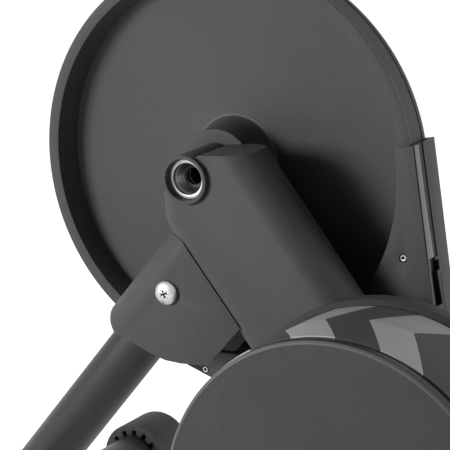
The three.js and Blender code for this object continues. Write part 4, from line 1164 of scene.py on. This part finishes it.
class TRAINER_OT_guard(bpy.types.Operator):
    """Belt guard: near cover with its folded lip, outer shell, a dark strip of painted shade in the gap between
    them, a pale strip of painted highlight on the flank, and screws
    """
    bl_idname = "trainer.guard"
    bl_label = "Belt guard"

    def execute(self, context):
        open_ends = (GUARD_RIGHT_LEAD + 10, GUARD_LEFT_LEAD - 10)
        leads = (GUARD_RIGHT_LEAD - 2.7, GUARD_LEFT_LEAD)
        # Grooves reach this high above the belt's back, past the sheet that they cut
        above = (9, 9)
        cover = plate("guard_plate", guard_outline(GUARD_RISE, *leads), GUARD_NEAR, GUARD_LIP_END)
        inside = GUARD_NEAR + GUARD_SHEET
        carve(cover,
              plate("tool", guard_outline(GUARD_RISE - GUARD_SHEET, *open_ends),
                    inside, GUARD_LIP_END + OVERRUN),
              bore(GUARD_CUT, -THROUGH, THROUGH, segments=256))
        carve(cover, *[ring("pad", 6, 0, ARM_FAR + GAP, inside, pad, 48) for pad in GUARD_PADS],
              operation="UNION")
        fixings = (*GUARD_POSTS, GUARD_EYE)
        carve(cover, bore(9.5, -THROUGH, THROUGH, SHAFT),
              *[bore(3.3, -THROUGH, GUARD_NEAR + 1.6, place, 48) for place in fixings],
              *[bore(1.8, -THROUGH, THROUGH, post, 32) for post in GUARD_POSTS],
              *[bore(2.8, -THROUGH, THROUGH, place, 32) for place in (*GUARD_PADS, GUARD_SPARE_HOLE)],
              flank_strip("tool", [(-20, -5.3, -4.1), (118, -5.3, -4.1)], GUARD_RISE - 0.9, above),
              flank_strip("tool", [(77, -2.7, 5), (113, -2.7, 5)], GUARD_RISE - 0.9, above))
        soften(cover, 0.4 * MM, 35)
        dress(cover, "powder_coat", "frame", "guard_cover")

        shell = plate("guard_outer_shell", guard_outline(GUARD_SHELL_RISE, *leads),
                      GUARD_SHELL_NEAR, GUARD_BACK)
        # Stations down the flank, with where the seat of the dark strip of painted shade and the pale strip of
        # painted highlight end there
        shade_strip_seat_ends = ((-20, 11.0), (0, 11.2), (33, 11.8), (55, 12.3), (72, 12.8), (77, 13.0))
        highlight_strip_ends = ((-6.8, 3.2), (0, 3.2), (33, 3.6), (55, 4.6), (72, 6.0), (76, 6.2))
        slot = GUARD_SHELL_RISE - 8
        carve(shell,
              plate("tool", guard_outline(GUARD_SHELL_RISE - GUARD_SHEET, *open_ends),
                    GUARD_SHELL_NEAR - OVERRUN, GUARD_BACK - GUARD_SHEET),
              bore(GUARD_CUT, -THROUGH, THROUGH, segments=256),
              flank_strip("tool", [(s, -5, far) for s, far in shade_strip_seat_ends], GUARD_SHELL_RISE - 1.5, above),
              flank_strip("tool", [(77, -5, 8), (112, -5, 11.6)], slot, above),
              flank_strip("tool", [(79, 5, 13.7), (87, 5, 13.7)], slot, above),
              flank_strip("tool", [(90, 14.2, 15.0), (118, 14.2, 15.0)], GUARD_SHELL_RISE - 0.8, above))
        carve(shell, *[ring("post", 3, 0, inside + GAP, GUARD_BACK - GUARD_SHEET / 2, post, 32)
                       for post in GUARD_POSTS], operation="UNION")
        carve(shell, *[bore(1.8, -THROUGH, 3.3, post, 32) for post in GUARD_POSTS])
        soften(shell, 0.4 * MM, 35)
        dress(shell, "powder_coat", "frame", "guard_shell")

        # Painted highlight: a pale strip raised on the guard's flank stands in for the light that the cover's lip
        # catches there
        strip = flank_strip("guard_edge_strip", [(s, -3.9, far) for s, far in highlight_strip_ends],
                            GUARD_RISE + 0.05, (GUARD_RISE + 0.4, GUARD_RISE + 0.5))
        soften(strip, 0.15 * MM, 30)
        dress(strip, "edge_coat", "frame")
        marks = [(s, edge + 0.4, seat - 0.4) for (s, edge), (_, seat) in zip(highlight_strip_ends[1:], shade_strip_seat_ends[1:])]
        # Painted shade: a dark strip in a rubber finish, sunk in the shell, stands in for the shade in the gap
        # between cover and shell
        shade_strip_top = GUARD_SHELL_RISE - 1.0
        seal = flank_strip("guard_seal", [(-6.8, 3.6, 10.7), *marks], GUARD_SHELL_RISE - 1.45,
                           (shade_strip_top, shade_strip_top))
        soften(seal, 0.1 * MM, 30)
        dress(seal, "seal_rubber", "frame")
        seat, rim = GUARD_NEAR + 1.5, 2.7
        for number, place in enumerate(fixings, 1):
            screw = turned(f"guard_fixing_{number}", [
                (0, seat - 0.6), (1.0, seat - 0.6), (1.3, seat - 1.3), (2.0, seat - 1.4), (rim, seat - 0.7),
                (rim, seat), (1.5, seat), (1.5, seat + 0.6), (0, seat + 0.6)], place, 48)
            soften(screw, 0.1 * MM)
            nodes = [f"guard_screw_{number}"] if number <= len(GUARD_POSTS) else []
            dress(screw, "bright_steel", "frame", *nodes)
            # Painted shade: the socket in the middle of each screw head is painted black
            paint(screw, "roller_plastic", band(0, 1.25, centre=place))
        return {"FINISHED"}


class TRAINER_OT_inner_parts(bpy.types.Operator):
    """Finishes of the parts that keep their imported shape: coils, core, board, idler and screws"""
    bl_idname = "trainer.inner_parts"
    bl_label = "Inner parts"

    def execute(self, context):
        finish_of_slot = {
            "graphite": "powder_coat", "graphite_dark": "dark_coat", "black_plastic": "roller_plastic",
            "belt_rubber": "belt_rubber", "steel": "turned_steel", "iron": "cast_iron",
            "copper": "wound_copper", "board": "circuit_board",
        }
        slots = {part["node"]: part["material_slot"] for part in frame["record"]["subparts"]}
        for node, piece in frame["nodes"].items():
            if piece.hide_render:
                continue
            finish = finish_named(finish_of_slot[slots[node]])
            for place in piece.material_slots:
                place.material = finish
        return {"FINISHED"}


def seen_rays(tree):
    """1 for rays from the camera, from gloss and through glass, which see a white background."""
    path = tree.nodes.new("ShaderNodeLightPath")
    value = path.outputs["Is Camera Ray"]
    for port in ("Is Glossy Ray", "Is Transmission Ray"):
        value = math_of(tree, "MAXIMUM", value, path.outputs[port])
    return value


class TRAINER_OT_stage(bpy.types.Operator):
    """Floor, soft lights and the camera"""
    bl_idname = "trainer.stage"
    bl_label = "Stage"

    def execute(self, context):
        stage = context.scene.trainer_stage
        self.floor(stage)
        self.lights(context, stage)
        self.camera(context)
        context.scene.view_settings.view_transform = "Standard"
        return {"FINISHED"}

    def floor(self, stage):
        size = 6.0
        mesh = bmesh.new()
        mesh.faces.new([mesh.verts.new((x, y, 0)) for x, y in
                        ((-size, -size), (size, -size), (size, size), (-size, size))])
        floor = new_piece("stage_floor", mesh)
        material, tree, shader, coordinates = surface("stage_paper")
        fibre = noise_of(tree, coordinates, 300.0, 3.0, 0.6)
        tint(tree, shader, fibre, tone(stage.floor, 0.98), tuple(stage.floor))
        shader.inputs["Roughness"].default_value = 0.9
        white = tree.nodes.new("ShaderNodeEmission")
        white.inputs["Strength"].default_value = 0.85
        both = tree.nodes.new("ShaderNodeAddShader")
        tree.links.new(shader.outputs["BSDF"], both.inputs[0])
        tree.links.new(white.outputs["Emission"], both.inputs[1])
        pick = tree.nodes.new("ShaderNodeMixShader")
        tree.links.new(seen_rays(tree), pick.inputs["Fac"])
        tree.links.new(shader.outputs["BSDF"], pick.inputs[1])
        tree.links.new(both.outputs["Shader"], pick.inputs[2])
        tree.links.new(pick.outputs["Shader"], tree.nodes["Material Output"].inputs["Surface"])
        floor.data.materials.append(material)

    def lights(self, context, stage):
        world = bpy.data.worlds.new("soft_sky")
        context.scene.world = world
        world.use_nodes = True
        tree = world.node_tree
        background = tree.nodes["Background"]
        background.inputs["Color"].default_value = (1, 1, 1, 1)
        # Brighter behind the object than in front of it, and darker overhead
        toward = tree.nodes.new("ShaderNodeTexCoord")
        split = tree.nodes.new("ShaderNodeSeparateXYZ")
        tree.links.new(toward.outputs["Generated"], split.inputs["Vector"])
        behind = range_of(tree, split.outputs["Y"], 0.05 * stage.sky, stage.sky, -0.1, 0.6)
        overhead = range_of(tree, split.outputs["Z"], 1.0, 0.25, 0.1, 0.7)
        strength = tree.nodes.new("ShaderNodeMapRange")
        tree.links.new(seen_rays(tree), strength.inputs["Value"])
        tree.links.new(math_of(tree, "MULTIPLY", behind, overhead), strength.inputs["To Min"])
        strength.inputs["To Max"].default_value = 1.0
        tree.links.new(strength.outputs["Result"], background.inputs["Strength"])
        target = spot(40, 0, -80)
        for name, place, size, power in (
                ("key_light", (-1420, -1850, 430), (0.8, 0.8), stage.key),
                ("side_light", (2080, 850, 400), (0.7, 1.3), stage.side)):
            light = bpy.data.lights.new(name, "AREA")
            light.shape = "RECTANGLE"
            light.size, light.size_y = size
            light.energy = power
            lamp = bpy.data.objects.new(name, light)
            lamp.location = spot(*place)
            lamp.rotation_euler = (target - lamp.location).to_track_quat("-Z", "Y").to_euler()
            context.scene.collection.objects.link(lamp)

    def camera(self, context):
        data = bpy.data.cameras.new("view_camera")
        data.lens = CAMERA_LENS
        data.sensor_width = 36.0
        data.clip_end = 50.0
        camera = bpy.data.objects.new("view_camera", data)
        camera.location = spot(*CAMERA_PLACE)
        camera.rotation_euler = (TURN / 4 - CAMERA_ELEVATION, 0, CAMERA_AZIMUTH)
        context.scene.collection.objects.link(camera)
        context.scene.camera = camera


class TRAINER_PT_panel(bpy.types.Panel):
    """Lists the trainer's settings and pieces"""
    bl_label = "Trainer"
    bl_idname = "TRAINER_PT_panel"
    bl_space_type = "VIEW_3D"
    bl_region_type = "UI"
    bl_category = "Trainer"

    def draw(self, context):
        layout = self.layout
        for group in (context.scene.trainer_sizes, context.scene.trainer_colours, context.scene.trainer_stage):
            box = layout.box()
            for name in group.__annotations__:
                box.prop(group, name)
        for operator in PIECES:
            layout.operator(operator.bl_idname)


PIECES = (
    TRAINER_OT_stage, TRAINER_OT_arm, TRAINER_OT_sleeve, TRAINER_OT_wheel, TRAINER_OT_belt,
    TRAINER_OT_freehub, TRAINER_OT_bracket, TRAINER_OT_legs, TRAINER_OT_feet, TRAINER_OT_housing,
    TRAINER_OT_flywheel, TRAINER_OT_guard, TRAINER_OT_inner_parts,
)
CLASSES = (TrainerSizes, TrainerColours, TrainerStage, *PIECES, TRAINER_PT_panel)


def register():
    for entry in CLASSES:
        bpy.utils.register_class(entry)
    bpy.types.Scene.trainer_sizes = PointerProperty(type=TrainerSizes)
    bpy.types.Scene.trainer_colours = PointerProperty(type=TrainerColours)
    bpy.types.Scene.trainer_stage = PointerProperty(type=TrainerStage)


def unregister():
    del bpy.types.Scene.trainer_stage
    del bpy.types.Scene.trainer_colours
    del bpy.types.Scene.trainer_sizes
    for entry in reversed(CLASSES):
        bpy.utils.unregister_class(entry)


def main():
    register()
    for operator in PIECES:
        area, name = operator.bl_idname.split(".")
        getattr(getattr(bpy.ops, area), name)()


if __name__ == "__main__":
    main()
